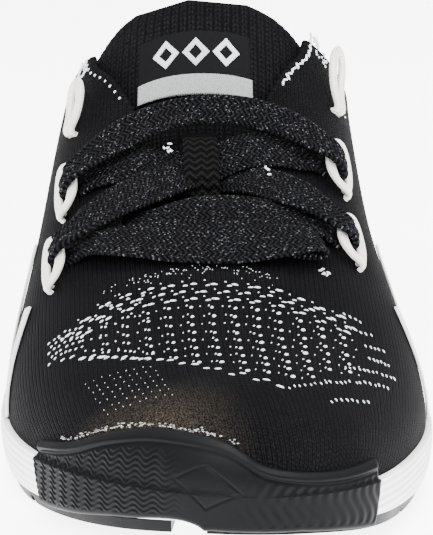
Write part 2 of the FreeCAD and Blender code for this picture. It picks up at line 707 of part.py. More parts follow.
def make_lace():
    lines = [lace_line(i) for i in range(7)]

    def middle(t):
        return chart(lines[0](t), lines[1](t), lines[2](t))

    def point(t, k, h):
        c, s, height, lean, roll, width, thick = [line(t) for line in lines]
        lean, roll = math.radians(lean), math.radians(roll)
        ahead = chart(c + 0.5 * math.sin(lean), s + 0.5 * math.cos(lean), height)
        behind = chart(c - 0.5 * math.sin(lean), s - 0.5 * math.cos(lean), height)
        up = chart(c, s, height + 1.0) - chart(c, s, height)
        across = (ahead - behind) * math.cos(roll) + up * math.sin(roll)
        across.normalize()
        lift = across.cross(middle(t + 1e-3) - middle(t - 1e-3))
        lift.normalize()
        return middle(t) + across * (k * width / 2.0) + lift * (h * thick / 2.0)

    return slab(point, spread(0.0, 1.0, 6 * len(LACE_PATH)), spread(-1, 1, 4), -1.0, 1.0)


def make_aglets():
    aglets = {}
    for name, (c0, s0, across, back) in AGLETS.items():

        def point(along, k, h, c0=c0, s0=s0, across=across, back=back):
            return chart(c0 + across * along, s0 + back * along + k * AGLET_WIDTH / 2.0, h)

        us = spread(0.0, AGLET_LENGTH, 7)
        aglets[f"aglet_{name}"] = slab(point, us, spread(-1, 1, 5), 0.3, 0.3 + AGLET_THICK)
    return aglets


# ---- Side straps --------------------------------------------------------------------------------
STRAPS = {  # strap: (s and z at the sole, s and z at the top)
    "side_strap_front": (72.0, 96.0, 20.0),
    "side_strap_rear": (98.0, 128.0, 26.0),
}


def strap_place(strap, side, share, across):
    """Chart place along a strap: share runs from the sole to its top end."""
    s0, s1, climb = STRAPS[strap]
    s = s0 + (s1 - s0) * share**1.15 + across * STRAP_WIDTH * 0.8
    t = station(s)
    edge = section_arcs(round(t, 6))[-1 if side > 0 else 0]
    return edge - side * (0.6 + climb * share - across * STRAP_WIDTH * 0.5), s


def make_straps():
    straps = {}
    for strap in STRAPS:
        for name, side in (("inner", 1), ("outer", -1)):

            def point(share, across, h, strap=strap, side=side):
                c, s = strap_place(strap, side, share, across)
                return chart(c, s, h)

            solid = slab(point, spread(0, 1, 10), spread(-0.5, 0.5, 4), 0.1, 0.1 + STRAP_THICK)
            straps[f"{strap}_{name}"] = solid
    return straps


# ---- Everything ---------------------------------------------------------------------------------
def build():
    above_feather = band(feather_height, lambda s: 170.0)
    outer_dome = dome(0.0)
    inner_dome = dome(-KNIT)
    midsole = make_midsole()
    pods = make_pods(midsole)
    body = outer_dome.common(above_feather)
    nodes = {"midsole": midsole, **pods}
    nodes["toe_bumper"] = make_bumper([midsole, body] + list(pods.values()))
    nodes["knit_upper"] = make_upper(outer_dome, inner_dome, above_feather)
    nodes.update(make_inside(above_feather))
    nodes.update(make_footbed())
    nodes.update(make_tongue())
    nodes.update(make_tongue_trim())
    nodes.update(make_loops())
    nodes["lace"] = make_lace()
    nodes.update(make_aglets())
    nodes.update(make_straps())
    return nodes


def main():
    os.makedirs("parts", exist_ok=True)
    for name, shape in build().items():
        solid = largest(shape)
        print(f"{name:26s} solids {len(shape.Solids)} valid {solid.isValid()} {solid.Volume / 1000:8.2f} cm3")
        solid.exportStep(f"parts/{name}.step")


main()
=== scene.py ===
"""Looks of the right cheerleading shoe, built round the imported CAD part.

Lengths here are millimetres until a mesh is made. As in the CAD, s is the distance back from the
tip of the toe, c the arc length across from the ridge of the foot (positive to the inner side) and
h the height off the skin of the upper.
"""

import math

import bmesh
import bpy
import numpy as np
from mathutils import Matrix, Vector


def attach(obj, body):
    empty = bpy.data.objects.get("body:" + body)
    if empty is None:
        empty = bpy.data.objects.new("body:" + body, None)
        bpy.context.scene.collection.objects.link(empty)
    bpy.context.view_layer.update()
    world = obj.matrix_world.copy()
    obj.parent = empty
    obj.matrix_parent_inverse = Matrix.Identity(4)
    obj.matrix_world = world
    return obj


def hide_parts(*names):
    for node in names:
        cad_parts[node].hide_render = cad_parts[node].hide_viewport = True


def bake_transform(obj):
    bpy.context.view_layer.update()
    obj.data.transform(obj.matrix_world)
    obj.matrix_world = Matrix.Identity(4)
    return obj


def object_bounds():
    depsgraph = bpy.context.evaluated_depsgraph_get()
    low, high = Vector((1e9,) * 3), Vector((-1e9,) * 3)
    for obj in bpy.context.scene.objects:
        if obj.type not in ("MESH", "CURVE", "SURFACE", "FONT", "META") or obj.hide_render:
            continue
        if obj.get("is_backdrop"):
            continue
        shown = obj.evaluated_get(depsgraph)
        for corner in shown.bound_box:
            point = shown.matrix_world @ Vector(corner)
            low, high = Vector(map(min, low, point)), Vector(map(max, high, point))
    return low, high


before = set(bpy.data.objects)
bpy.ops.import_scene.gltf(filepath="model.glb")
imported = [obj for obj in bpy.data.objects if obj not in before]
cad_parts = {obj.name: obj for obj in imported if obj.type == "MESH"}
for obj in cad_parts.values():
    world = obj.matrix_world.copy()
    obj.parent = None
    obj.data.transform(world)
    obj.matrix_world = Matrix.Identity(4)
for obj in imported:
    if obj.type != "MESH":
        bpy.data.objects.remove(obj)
cad_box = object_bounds()
rng = np.random.default_rng(7)

# ---- Shape of the shoe, as in the CAD -----------------------------------------------------------
LENGTH = 272.0
KNIT = 2.2  # thickness of the knit
TREAD = 2.5  # thickness of the tread pods
BUMPER = 1.7  # thickness of the toe bumper
EDGE_STEP = 1.5  # the upper stands this far in from the edge of the sole
FAR = 60.0  # further from the ridge than any point of the upper
BELLY_HEIGHT = 34.0  # where the sides of the upper swell most, above its lower edge
MM = 0.001
TURN = 2.0 * math.pi


def smooth(share):
    """Eases from 0 to 1, level at both ends."""
    share = np.clip(share, 0.0, 1.0)
    return share * share * (3.0 - 2.0 * share)


def rounded(share):
    """Quarter circle from 0, where it is upright, to 1, where it is level."""
    return np.sqrt(1.0 - (1.0 - np.clip(share, 0.0, 1.0)) ** 2)


def profile(*values):
    """Smooth curve through values spread from the toe (t = 0) to the heel (t = 1)."""
    values = np.array(values, float)
    n = len(values)
    matrix = np.eye(n)
    right = np.zeros(n)
    for i in range(1, n - 1):
        matrix[i, i - 1 : i + 2] = 1.0, 4.0, 1.0
        right[i] = 6.0 * (values[i + 1] - 2.0 * values[i] + values[i - 1])
    bend = np.linalg.solve(matrix, right)

    def curve(t):
        place = np.clip(t, 0.0, 1.0) * (n - 1)
        i = np.minimum(np.asarray(place).astype(int), n - 2)
        b = place - i
        a = 1.0 - b
        swing = (a**3 - a) * bend[i] + (b**3 - b) * bend[i + 1]
        return a * values[i] + b * values[i + 1] + swing / 6.0

    return curve


def through(*pairs):
    """Smooth curve through (place, value) pairs."""
    xs, ys = np.array(pairs, float).T
    rises = np.diff(ys) / np.diff(xs)
    slopes = np.concatenate([rises[:1], (rises[1:] + rises[:-1]) / 2.0, rises[-1:]])

    def curve(place):
        i = np.clip(np.searchsorted(xs, place, side="right") - 1, 0, len(xs) - 2)
        gap = xs[i + 1] - xs[i]
        w = np.clip((place - xs[i]) / gap, 0.0, 1.0)
        lean = slopes[i] * (1.0 - w) - slopes[i + 1] * w
        return ys[i] + (ys[i + 1] - ys[i]) * smooth(w) + gap * w * (1.0 - w) * lean

    return curve


INNER_EDGE = profile(10, 25, 37, 45, 50, 48, 41, 36, 35, 35, 30.5, 17.5, -1)
OUTER_EDGE = profile(10, -8, -25.5, -39.5, -48, -49.2, -45.2, -40.2, -37.6, -36.5, -32, -19, -1)
GROUND = profile(5.5, 4.6, 2.6, 0.8, -0.2, -0.2, -0.2, -0.2, -0.2, -0.2, 0.2, 1.6, 3.0)
FEATHER = profile(14, 14, 13.8, 13.6, 14.2, 16, 18.5, 20.5, 22, 23, 23.5, 24, 24)
RIDGE = profile(14, 25, 31.5, 35.5, 42, 55, 77, 108, 122, 126, 122, 112, 24)
FULL_WIDE = profile(2.0, 2.1, 2.2, 2.3, 2.3, 2.3, 2.3, 2.4, 2.5, 2.4, 2.2, 2.1, 2.0)
FULL_HIGH = profile(2.0, 2.0, 2.0, 2.1, 2.2, 2.5, 2.9, 3.2, 3.4, 3.4, 3.2, 2.6, 2.2)
BELLY = profile(0, 0, 0, 0, 0, 0, 0.8, 2.0, 2.2, 1.5, 0.5, 0, 0)
THROAT = through(  # s and the half width of the throat
    (97, 8.0), (104, 10.8), (116, 13.8), (130, 15.6), (140, 17.3),
    (150, 22.0), (158, 26.0), (168, 27.0), (174, 26.0),
)  # fmt: skip
THROAT_FRONT, THROAT_TIP, THROAT_END = 97.0, 94.0, 176.0
THROAT_SHIFT = -1.5
COLLAR = through(  # s and the height of the upper's edge
    (140, 116), (160, 94), (168, 85), (180, 77.5), (198, 71),
    (215, 68), (235, 69), (254, 73), (266, 76), (285, 79),
)  # fmt: skip
COLLAR_START = 145.0
COLLAR_DROP, COLLAR_TURN = 4.0, 16.0  # how much lower it is outside, and over what width it falls


def collar_height(x, s):
    """Height of the upper's edge, lower on the outer side."""
    return COLLAR(s) - COLLAR_DROP * (0.5 - 0.5 * np.tanh(x / COLLAR_TURN))


def station(s):
    return np.arccos(1.0 - 2.0 * np.clip(np.asarray(s, float) / LENGTH, 0.0, 1.0)) / np.pi


def distance(t):
    return LENGTH * (1.0 - np.cos(np.pi * np.asarray(t, float))) / 2.0


def stack(x, s, z):
    """Points in the frame of the part, from x, the distance from the toe and the height."""
    x, s, z = np.broadcast_arrays(x, s, z)
    return np.stack([x, s - LENGTH / 2.0, z], axis=-1)


def unit(a):
    return a / np.maximum(np.linalg.norm(a, axis=-1, keepdims=True), 1e-12)


def footprint(t):
    """Middle and half width of the upper at its lower edge, and how high it rises from there."""
    inner, outer = INNER_EDGE(t), OUTER_EDGE(t)
    half = np.maximum((inner - outer) / 2.0, 1e-6)
    rise = np.maximum(RIDGE(t) - FEATHER(t), 0.01)
    return (inner + outer) / 2.0, half * half / (half + EDGE_STEP), rise


def belly(t, up):
    return BELLY(t) * np.sin(np.minimum(up / BELLY_HEIGHT, 2.0) * np.pi / 2.0)


def skin(t, v):
    """Outside of the upper: v runs from -1 (outer edge) over the ridge to 1 (inner edge)."""
    t, v = np.broadcast_arrays(np.asarray(t, float), np.asarray(v, float))
    angle = (1.0 - v) * np.pi / 2.0
    middle, half, rise = footprint(t)
    cosine, sine = np.cos(angle), np.abs(np.sin(angle))
    across = np.sign(cosine) * np.abs(cosine) ** (2.0 / FULL_WIDE(t))
    up = rise * sine ** (2.0 / FULL_HIGH(t))
    return stack(middle + across * (half + belly(t, up)), distance(t), FEATHER(t) + up)


def inside(x, s, z):
    """Whether a point lies within the upper's skin, or within the sole's edge below it."""
    t = station(s)
    middle, half, rise = footprint(t)
    up = np.clip(z - FEATHER(t), 0.0, None)
    across = np.clip(1.0 - (up / rise) ** FULL_HIGH(t), 0.0, None) ** (1.0 / FULL_WIDE(t))
    dome = (up < rise) & (np.abs(x - middle) < across * (half + belly(t, up)))
    sole = (OUTER_EDGE(t) < x) & (x < INNER_EDGE(t))
    return (s > 0.0) & (s < LENGTH) & np.where(z <= FEATHER(t), sole, dome)


def solve(over, high, low=0.0, steps=36):
    """Where over(value) turns true between low and high, by bisection."""
    low, high = np.broadcast_arrays(np.asarray(low, float), np.asarray(high, float))
    for _ in range(steps):
        middle = (low + high) / 2.0
        past = over(middle)
        low, high = np.where(past, low, middle), np.where(past, middle, high)
    return (low + high) / 2.0


def skin_normal(t, v):
    step = 1e-4
    t = np.clip(t, 0.006, 0.994)
    v = np.clip(v, -0.999, 0.999)
    along = skin(t + step, v) - skin(t - step, v)
    over = skin(t, v + step) - skin(t, v - step)
    return -unit(np.cross(along, over))


def offset_skin(t, v, h):
    return skin(t, v) + skin_normal(t, v) * np.asarray(h, float)[..., None]


ARC_ROWS, ARC_COLUMNS = 800, 120


def arc_table():
    """Arc length across the skin from the ridge, for rows of t and columns of v."""
    t = np.linspace(0.0, 1.0, ARC_ROWS + 1)[:, None]
    v = np.linspace(-1.0, 1.0, ARC_COLUMNS + 1)[None, :]
    steps = np.linalg.norm(np.diff(skin(t, v), axis=1), axis=2)
    arcs = np.concatenate([0.0 * t, np.cumsum(steps, axis=1)], axis=1)
    return arcs - arcs[:, ARC_COLUMNS // 2, None]


ARCS = arc_table()


def arc_edges(s):
    """Arc length from the ridge to the outer and to the inner edge of the upper."""
    place = station(s) * ARC_ROWS
    rows = np.arange(ARC_ROWS + 1)
    return np.interp(place, rows, ARCS[:, 0]), np.interp(place, rows, ARCS[:, -1])


def chart_tv(c, s):
    """The pair (t, v) of the point on the skin at arc length c and distance s."""
    c, s = np.broadcast_arrays(np.asarray(c, float), np.asarray(s, float))
    shape = c.shape
    c, t = c.ravel(), station(s).ravel()
    place = t * ARC_ROWS
    i = np.minimum(place.astype(int), ARC_ROWS - 1)
    part = (place - i)[:, None]
    arcs = ARCS[i] * (1.0 - part) + ARCS[i + 1] * part
    j = np.clip((arcs <= c[:, None]).sum(axis=1) - 1, 0, ARC_COLUMNS - 1)
    row = np.arange(len(c))
    share = (c - arcs[row, j]) / (arcs[row, j + 1] - arcs[row, j])
    v = np.clip((j + share) * 2.0 / ARC_COLUMNS - 1.0, -1.0, 1.0)
    return t.reshape(shape), v.reshape(shape)


def chart(c, s, h):
    """Points h off the skin, at arc length c from the ridge and distance s from the toe."""
    c, s, h = np.broadcast_arrays(np.asarray(c, float), np.asarray(s, float), np.asarray(h, float))
    t, v = chart_tv(c, s)
    return offset_skin(t, v, h)


def arc_to(x, s, h):
    """Arc length from the ridge to the point, h off the skin, that lies at x across the shoe."""
    x, s, h = np.broadcast_arrays(np.asarray(x, float), np.asarray(s, float), np.asarray(h, float))
    return solve(lambda c: chart(c, s, h)[..., 0] >= x, np.full(x.shape, FAR), -FAR, steps=22)


def throat_middle(s):
    t = station(s)
    return (INNER_EDGE(t) + OUTER_EDGE(t)) / 2.0 + THROAT_SHIFT


# ---- Meshes -------------------------------------------------------------------------------------
CLOTH_SCALE = 0.01  # the cloth map holds millimetres times this


def add_mesh(name, points, faces, uv=None, smooth=True):
    """Mesh object from points in millimetres; uv is one pair of millimetres for each point."""
    mesh = bpy.data.meshes.new(name)
    mesh.from_pydata((np.asarray(points) * MM).tolist(), [], [list(map(int, f)) for f in faces])
    if uv is not None:
        layer = mesh.uv_layers.new(name="cloth")
        index = np.zeros(len(mesh.loops), int)
        mesh.loops.foreach_get("vertex_index", index)
        layer.data.foreach_set("uv", (np.asarray(uv, float)[index] * CLOTH_SCALE).ravel())
    mesh.validate()
    obj = bpy.data.objects.new(name, mesh)
    bpy.context.scene.collection.objects.link(obj)
    if smooth:
        mesh.shade_smooth()
    return obj


def grid_faces(rows, columns, loop=False, start=0, flip=False):
    """Quads of a rows by columns grid; loop joins the last column to the first."""
    i, j = np.meshgrid(np.arange(rows - 1), np.arange(columns if loop else columns - 1), indexing="ij")
    k = (j + 1) % columns
    here, after = i * columns, (i + 1) * columns
    quads = np.stack([here + j, here + k, after + k, after + j], axis=-1).reshape(-1, 4) + start
    return quads[:, ::-1] if flip else quads


def rings_mesh(name, rings, uv=None):
    """Closed tube through rings of points, shape (rings, points in a ring, 3)."""
    n, m = rings.shape[:2]
    faces = [list(face) for face in grid_faces(n, m, loop=True)]
    faces += [list(range(m))[::-1], list(range((n - 1) * m, n * m))]
    uv = None if uv is None else uv.reshape(-1, 2)
    return outward(add_mesh(name, rings.reshape(-1, 3), faces, uv))


def outward(obj, weld=None):
    """Turns the faces of a closed mesh outward, after joining points less than weld metres apart."""
    work = bmesh.new()
    work.from_mesh(obj.data)
    if weld:
        bmesh.ops.remove_doubles(work, verts=work.verts, dist=weld)
    bmesh.ops.recalc_face_normals(work, faces=work.faces)
    work.to_mesh(obj.data)
    work.free()
    return obj


def oval(count, wide=6.0, high=2.5):
    """Ring of (k, h) pairs, both from -1 to 1, round a flat strip with soft edges."""
    a = np.linspace(0.0, TURN, count, endpoint=False)
    k = np.sign(np.cos(a)) * np.abs(np.cos(a)) ** (2.0 / wide)
    h = np.sign(np.sin(a)) * np.abs(np.sin(a)) ** (2.0 / high)
    return k, h


def strip(name, centre, across, lift, width, thick, count=32, relief=None):
    """Flat strip along centre points: across and lift are its unit vectors at each of them."""
    k, h = oval(count)
    run = path_length(centre)[:, None]
    side = k * np.broadcast_to(width, len(centre))[:, None] / 2.0
    rise = h * np.broadcast_to(thick, len(centre))[:, None] / 2.0
    if relief:
        rise = rise + relief(run, side) * h
    rings = centre[:, None] + across[:, None] * side[..., None] + lift[:, None] * rise[..., None]
    return rings_mesh(name, rings, cloth_map(side, run))


def cloth_map(across, along):
    return np.stack(np.broadcast_arrays(across, along), axis=-1)


def path_length(points):
    return np.concatenate([[0.0], np.cumsum(np.linalg.norm(np.diff(points, axis=0), axis=1))])


def resample(points, step):
    """The same line with points at equal steps, through a smooth curve."""
    points = np.asarray(points, float)
    fine = np.linspace(0.0, 1.0, len(points) * 24)
    curves = [profile(*column) for column in points.T]
    dense = np.stack([curve(fine) for curve in curves], axis=1)
    run = path_length(dense)
    places = np.linspace(0.0, run[-1], max(3, int(run[-1] / step)))
    return np.stack([np.interp(places, run, dense[:, i]) for i in range(dense.shape[1])], axis=1)


# ---- Materials ----------------------------------------------------------------------------------
class Value:
    """A number worked out by a material's nodes, written as arithmetic."""

    def __init__(self, owner, socket):
        self.owner = owner
        self.socket = socket

    def __add__(self, other):
        return self.owner.math("ADD", self, other)

    def __sub__(self, other):
        return self.owner.math("SUBTRACT", self, other)

    def __rsub__(self, other):
        return self.owner.math("SUBTRACT", other, self)

    def __mul__(self, other):
        return self.owner.math("MULTIPLY", self, other)

    def __pow__(self, other):
        return self.owner.math("POWER", self, other)

    def __abs__(self):
        return self.owner.math("ABSOLUTE", self)

    def sine(self):
        return self.owner.math("SINE", self)

    def clamped(self):
        return self.owner.math("ADD", self, 0.0, clamp=True)


class Nodes:
    """Short way to build a procedural material."""

    def __init__(self, name, base, rough, gloss=0.03):
        self.material = bpy.data.materials.new(name)
        self.material.use_nodes = True
        self.tree = self.material.node_tree
        self.shader = self.tree.nodes["Principled BSDF"]
        self.shader.inputs["Base Color"].default_value = (*base, 1.0)
        self.shader.inputs["Roughness"].default_value = rough
        self.shader.inputs["Specular IOR Level"].default_value = gloss

    def add(self, kind, **settings):
        node = self.tree.nodes.new(kind)
        for key, value in settings.items():
            setattr(node, key, value)
        return node

    def link(self, source, node, socket):
        source = source.socket if isinstance(source, Value) else source
        self.tree.links.new(source, node.inputs[socket])

    def uv(self):
        """The cloth map in millimetres, as the values u and v."""
        apart = self.add("ShaderNodeSeparateXYZ")
        self.link(self.add("ShaderNodeUVMap", uv_map="cloth").outputs["UV"], apart, "Vector")
        return [Value(self, apart.outputs[i]) * (1.0 / CLOTH_SCALE) for i in range(2)]

    def math(self, operation, *inputs, clamp=False):
        node = self.add("ShaderNodeMath", operation=operation, use_clamp=clamp)
        for i, value in enumerate(inputs):
            if isinstance(value, Value):
                self.link(value, node, i)
            else:
                node.inputs[i].default_value = value
        return Value(self, node.outputs[0])

    def noise(self, scale, detail=2.0):
        node = self.add("ShaderNodeTexNoise")
        node.inputs["Scale"].default_value = scale
        node.inputs["Detail"].default_value = detail
        self.link(self.add("ShaderNodeTexCoord").outputs["Object"], node, "Vector")
        return Value(self, node.outputs["Fac"])

    def ramp(self, value, *stops):
        """Colour that follows a value through stops of (place, (r, g, b))."""
        node = self.add("ShaderNodeValToRGB")
        elements = node.color_ramp.elements
        while len(elements) < len(stops):
            elements.new(0.5)
        for element, (place, colour) in zip(elements, stops):
            element.position = place
            element.color = (*colour, 1.0)
        self.link(value, node, "Fac")
        return node.outputs["Color"]

    def mix(self, share, first, second):
        """Colour between two. The second one may be a plain (r, g, b)."""
        node = self.add("ShaderNodeMix", data_type="RGBA")
        self.link(share, node, "Factor")
        self.link(first, node, MIX_FIRST)
        if isinstance(second, tuple):
            node.inputs[MIX_SECOND].default_value = (*second, 1.0)
        else:
            self.link(second, node, MIX_SECOND)
        return node.outputs[MIX_RESULT]

    def colour(self, socket):
        self.link(socket, self.shader, "Base Color")

    def bump(self, height, strength, mm):
        node = self.add("ShaderNodeBump")
        node.inputs["Strength"].default_value = strength
        node.inputs["Distance"].default_value = mm * MM
        self.link(height, node, "Height")
        self.link(node.outputs["Normal"], self.shader, "Normal")


MIX_FIRST, MIX_SECOND, MIX_RESULT = 6, 7, 2  # colour sockets of the mix node


def shade(tint, factor):
    return tuple(value * factor for value in tint)


def black_knit(name, wale, course, mm=0.6, melange=False):
    """Rows of V stitches: wale is the width of a stitch, course its height and mm its depth."""
    tint = (0.0026, 0.0024, 0.003)
    m = Nodes(name, tint, 0.75)
    u, v = m.uv()
    side = abs(m.math("FRACT", u * (1.0 / wale)) - 0.5)
    leg = ((v * (1.0 / course) + side) * TURN).sine()
    groove = 1.0 - (side * 2.0) ** 3.0
    valley = (0.12 - side).clamped() * 4.0
    stitch = groove * (leg * 0.25 + 0.75) - valley
    m.bump(stitch, 0.8, mm)
    speck = m.noise(2600.0, 3.0)
    # Random flecks plus the stitch height: painted shade in the grooves between stitches and painted
    # highlight on the raised stitches.
    flecks_and_stitch_shade = speck * 0.6 + m.noise(60.0) * 0.15 + stitch * 0.25
    colour = m.ramp(flecks_and_stitch_shade, (0.35, shade(tint, 0.35)), (0.52, tint), (0.78, shade(tint, 5.0)))
    if melange:
        near_toe = ((40.0 - v) * 0.07).clamped()
        in_patch = ((26.0 - abs(u + 25.0)) * 0.06).clamped()
        grain = m.ramp(speck, (0.4, (0.003, 0.0026, 0.002)), (0.66, (0.05, 0.042, 0.032)))
        colour = m.mix(near_toe * in_patch, colour, grain)
    m.colour(colour)
    return m


def black_rubber(name):
    m = Nodes(name, (0.0024, 0.0025, 0.0031), 0.5, gloss=0.06)
    m.bump(m.noise(1800.0, 3.0), 0.25, 0.05)
    m.link(m.ramp(m.noise(90.0, 3.0), (0.3, (0.4,) * 3), (0.7, (0.56,) * 3)), m.shader, "Roughness")
    return m


def white_foam(name):
    tint = (0.8, 0.8, 0.79)
    m = Nodes(name, tint, 0.62, gloss=0.35)
    m.shader.inputs["Subsurface Weight"].default_value = 0.08
    m.shader.inputs["Subsurface Radius"].default_value = (0.002, 0.002, 0.002)
    m.bump(m.noise(1500.0, 4.0), 0.2, 0.06)
    m.colour(m.ramp(m.noise(45.0, 3.0), (0.35, shade(tint, 0.93)), (0.6, tint)))
    return m


def yarn(name, tint, dark, light, edges=(0.3, 0.6), rough=0.75):
    m = Nodes(name, tint, rough)
    m.bump(m.noise(3200.0), 0.5, 0.1)
    m.colour(m.ramp(m.noise(1500.0), (edges[0], dark), (edges[1], light)))
    return m


def woven(name, tint, pitch=0.8, mm=0.15, contrast=0.5):
    """Plain cloth of crossing threads, with painted shade where the weave dips between them."""
    m = Nodes(name, tint, 0.8)
    u, v = m.uv()
    cross = (u * (TURN / pitch)).sine() * (v * (TURN / pitch)).sine() * 0.5 + 0.5
    m.bump(cross, 0.7, mm)
    # Painted shade: colour darkens with the weave's height between threads, plus random grain; contrast
    # sets how dark the painted shade goes.
    weave_shade_and_grain = cross * 0.5 + m.noise(2200.0, 3.0) * 0.5
    m.colour(m.ramp(weave_shade_and_grain, (0.25, shade(tint, 1.0 - contrast)), (0.6, tint)))
    return m


def herringbone(name, tint, pitch, mm, half, glint_share=0.0):
    """Braid of slanting threads that change direction every half millimetres across."""
    m = Nodes(name, tint, 0.7)
    u, v = m.uv()
    fold = m.math("PINGPONG", u, half)
    thread = ((v + fold) * (TURN / pitch)).sine() * 0.5 + 0.5
    fine = ((v - fold) * (TURN / (pitch * 0.45))).sine()
    fuzz = m.noise(1900.0, 3.0)
    m.bump(thread * 0.9 + fine * 0.18 + fuzz, 1.0, mm)
    # Painted shade between the threads and painted highlight on their tops, varied by random fuzz.
    colour = m.ramp(thread * fuzz, (0.12, shade(tint, 0.2)), (0.55, shade(tint, 2.4)))
    # Painted glints: bright spots mixed into the braid's colour.
    if glint_share:
        colour = m.mix(glints(m, u, v, glint_share), colour, (0.13, 0.13, 0.145))
    m.colour(colour)
    return m


def glints(m, u, v, share):
    """Painted glints: small bright spots that lie along the braid, on the given share of its cells."""
    place = m.add("ShaderNodeCombineXYZ")
    m.link(u * 2.6, place, "X")
    m.link(v * 1.5, place, "Y")
    cells = m.add("ShaderNodeTexVoronoi")
    cells.inputs["Scale"].default_value = 1.0
    m.link(place.outputs["Vector"], cells, "Vector")
    apart = m.add("ShaderNodeSeparateColor")
    m.link(cells.outputs["Color"], apart, "Color")
    picked = m.math("GREATER_THAN", Value(m, apart.outputs[0]), 1.0 - share)
    core = m.math("LESS_THAN", Value(m, cells.outputs["Distance"]), 0.34)
    return picked * core * Value(m, apart.outputs[1]) ** 1.5


def plastic(name):
    m = Nodes(name, (0.015, 0.015, 0.015), 0.25, gloss=0.45)
    m.bump(m.noise(400.0), 0.1, 0.05)
    return m


def paint(obj, made):
    """Gives a piece its material."""
    dress(obj, made)
    return obj


def dress(obj, made):
    obj.data.materials.clear()
    obj.data.materials.append(made.material)


KNIT_BLACK = black_knit("knit_black", 1.15, 0.95, melange=True)
TONGUE_BLACK = black_knit("tongue_knit", 2.3, 1.15, mm=0.5)
LINING_BLACK = woven("lining_cloth", (0.008, 0.008, 0.009), 1.1)
RUBBER_BLACK = black_rubber("rubber_black")
FOAM_WHITE = white_foam("foam_white")
CORD_WHITE = woven("cord_white", (0.78, 0.76, 0.72), 0.55, mm=0.12, contrast=0.15)
YARN_WHITE = yarn("yarn_white", (0.72, 0.76, 0.76), (0.5, 0.54, 0.55), (0.78, 0.82, 0.82))
YARN_GREY = yarn(
    "yarn_grey", (0.3, 0.3, 0.29), (0.06, 0.06, 0.06), (0.5, 0.5, 0.48), edges=(0.35, 0.65), rough=0.8
)
# The lace's colour holds painted glints and painted shade between its threads.
LACE_BLACK = herringbone("lace_black", (0.0045, 0.0045, 0.0055), 1.3, mm=0.4, half=1.3, glint_share=0.42)
WEBBING = herringbone("webbing_black", (0.0032, 0.003, 0.003), 2.3, mm=0.5, half=1.45)
TAPE_WHITE = woven("tape_white", (0.74, 0.74, 0.72), 0.7, mm=0.12, contrast=0.2)
GREY_BAND = woven("band_grey", (0.3, 0.305, 0.31), 0.55, mm=0.1, contrast=0.55)
LABEL_BLACK = woven("label_black", (0.0055, 0.0055, 0.006), 0.4, mm=0.06)
SILVER_YARN = woven("silver_yarn", (0.6, 0.61, 0.63), 0.35, mm=0.08, contrast=0.25)
FOOTBED_CLOTH = woven("footbed_cloth", (0.012, 0.012, 0.0135), 0.9)
AGLET_PLASTIC = plastic("aglet_plastic")


# ---- Upper --------------------------------------------------------------------------------------
def throat_half(s):
    """Half width of the throat, which starts round at its tip."""
    ahead = (THROAT_FRONT - s) / (THROAT_FRONT - THROAT_TIP)
    tip = THROAT(THROAT_FRONT) * np.sqrt(np.clip(1.0 - ahead**2, 0.0, 1.0))
    return np.where(s < THROAT_TIP, 0.0, np.where(s < THROAT_FRONT, tip, THROAT(s)))


def top_edge(t, side):
    """|v| where the upper ends at the throat or the collar, 0 where it closes over the ridge."""
    s = distance(t)
    middle = footprint(t)[0]
    reach = np.maximum(side * THROAT_SHIFT + throat_half(s), 0.0)
    at_throat = solve(lambda v: side * (skin(t, side * v)[..., 0] - middle) > reach, 1.0)
    at_throat = np.where((s > THROAT_TIP) & (s < THROAT_END), at_throat, 0.0)

    def above(v):
        point = skin(t, side * v)
        return point[..., 2] > collar_height(point[..., 0], s)

    at_collar = solve(lambda v: ~above(v), 1.0)
    at_collar = np.where((s > COLLAR_START) & above(0.0), at_collar, 0.0)
    return np.maximum(at_throat, at_collar)


def upper_stations(fine):
    """Stations along the upper, closer together at the front of the throat and at the heel."""
    base = np.linspace(0.012, 0.9985, fine)
    front = station(THROAT_TIP + (THROAT_FRONT - THROAT_TIP) * np.linspace(0.0, 1.0, 24) ** 2)
    heel = 1.0 - 0.0015 * np.linspace(1.0, 0.2, 9) ** 2
    return np.unique(np.concatenate([base, front, heel]))


def ridge_run(t):
    """Length along the ridge from the toe, used as the cloth's own length."""
    fine = np.linspace(0.0, 1.0, 600)
    s, z = distance(fine), np.minimum(RIDGE(fine), 100.0)
    run = np.concatenate([[0.0], np.cumsum(np.hypot(np.diff(s), np.diff(z)))])
    return np.interp(t, fine, run)


RIM = (0.2, 0.5, 0.8)  # places of the points over the knit's edge, as shares of its thickness


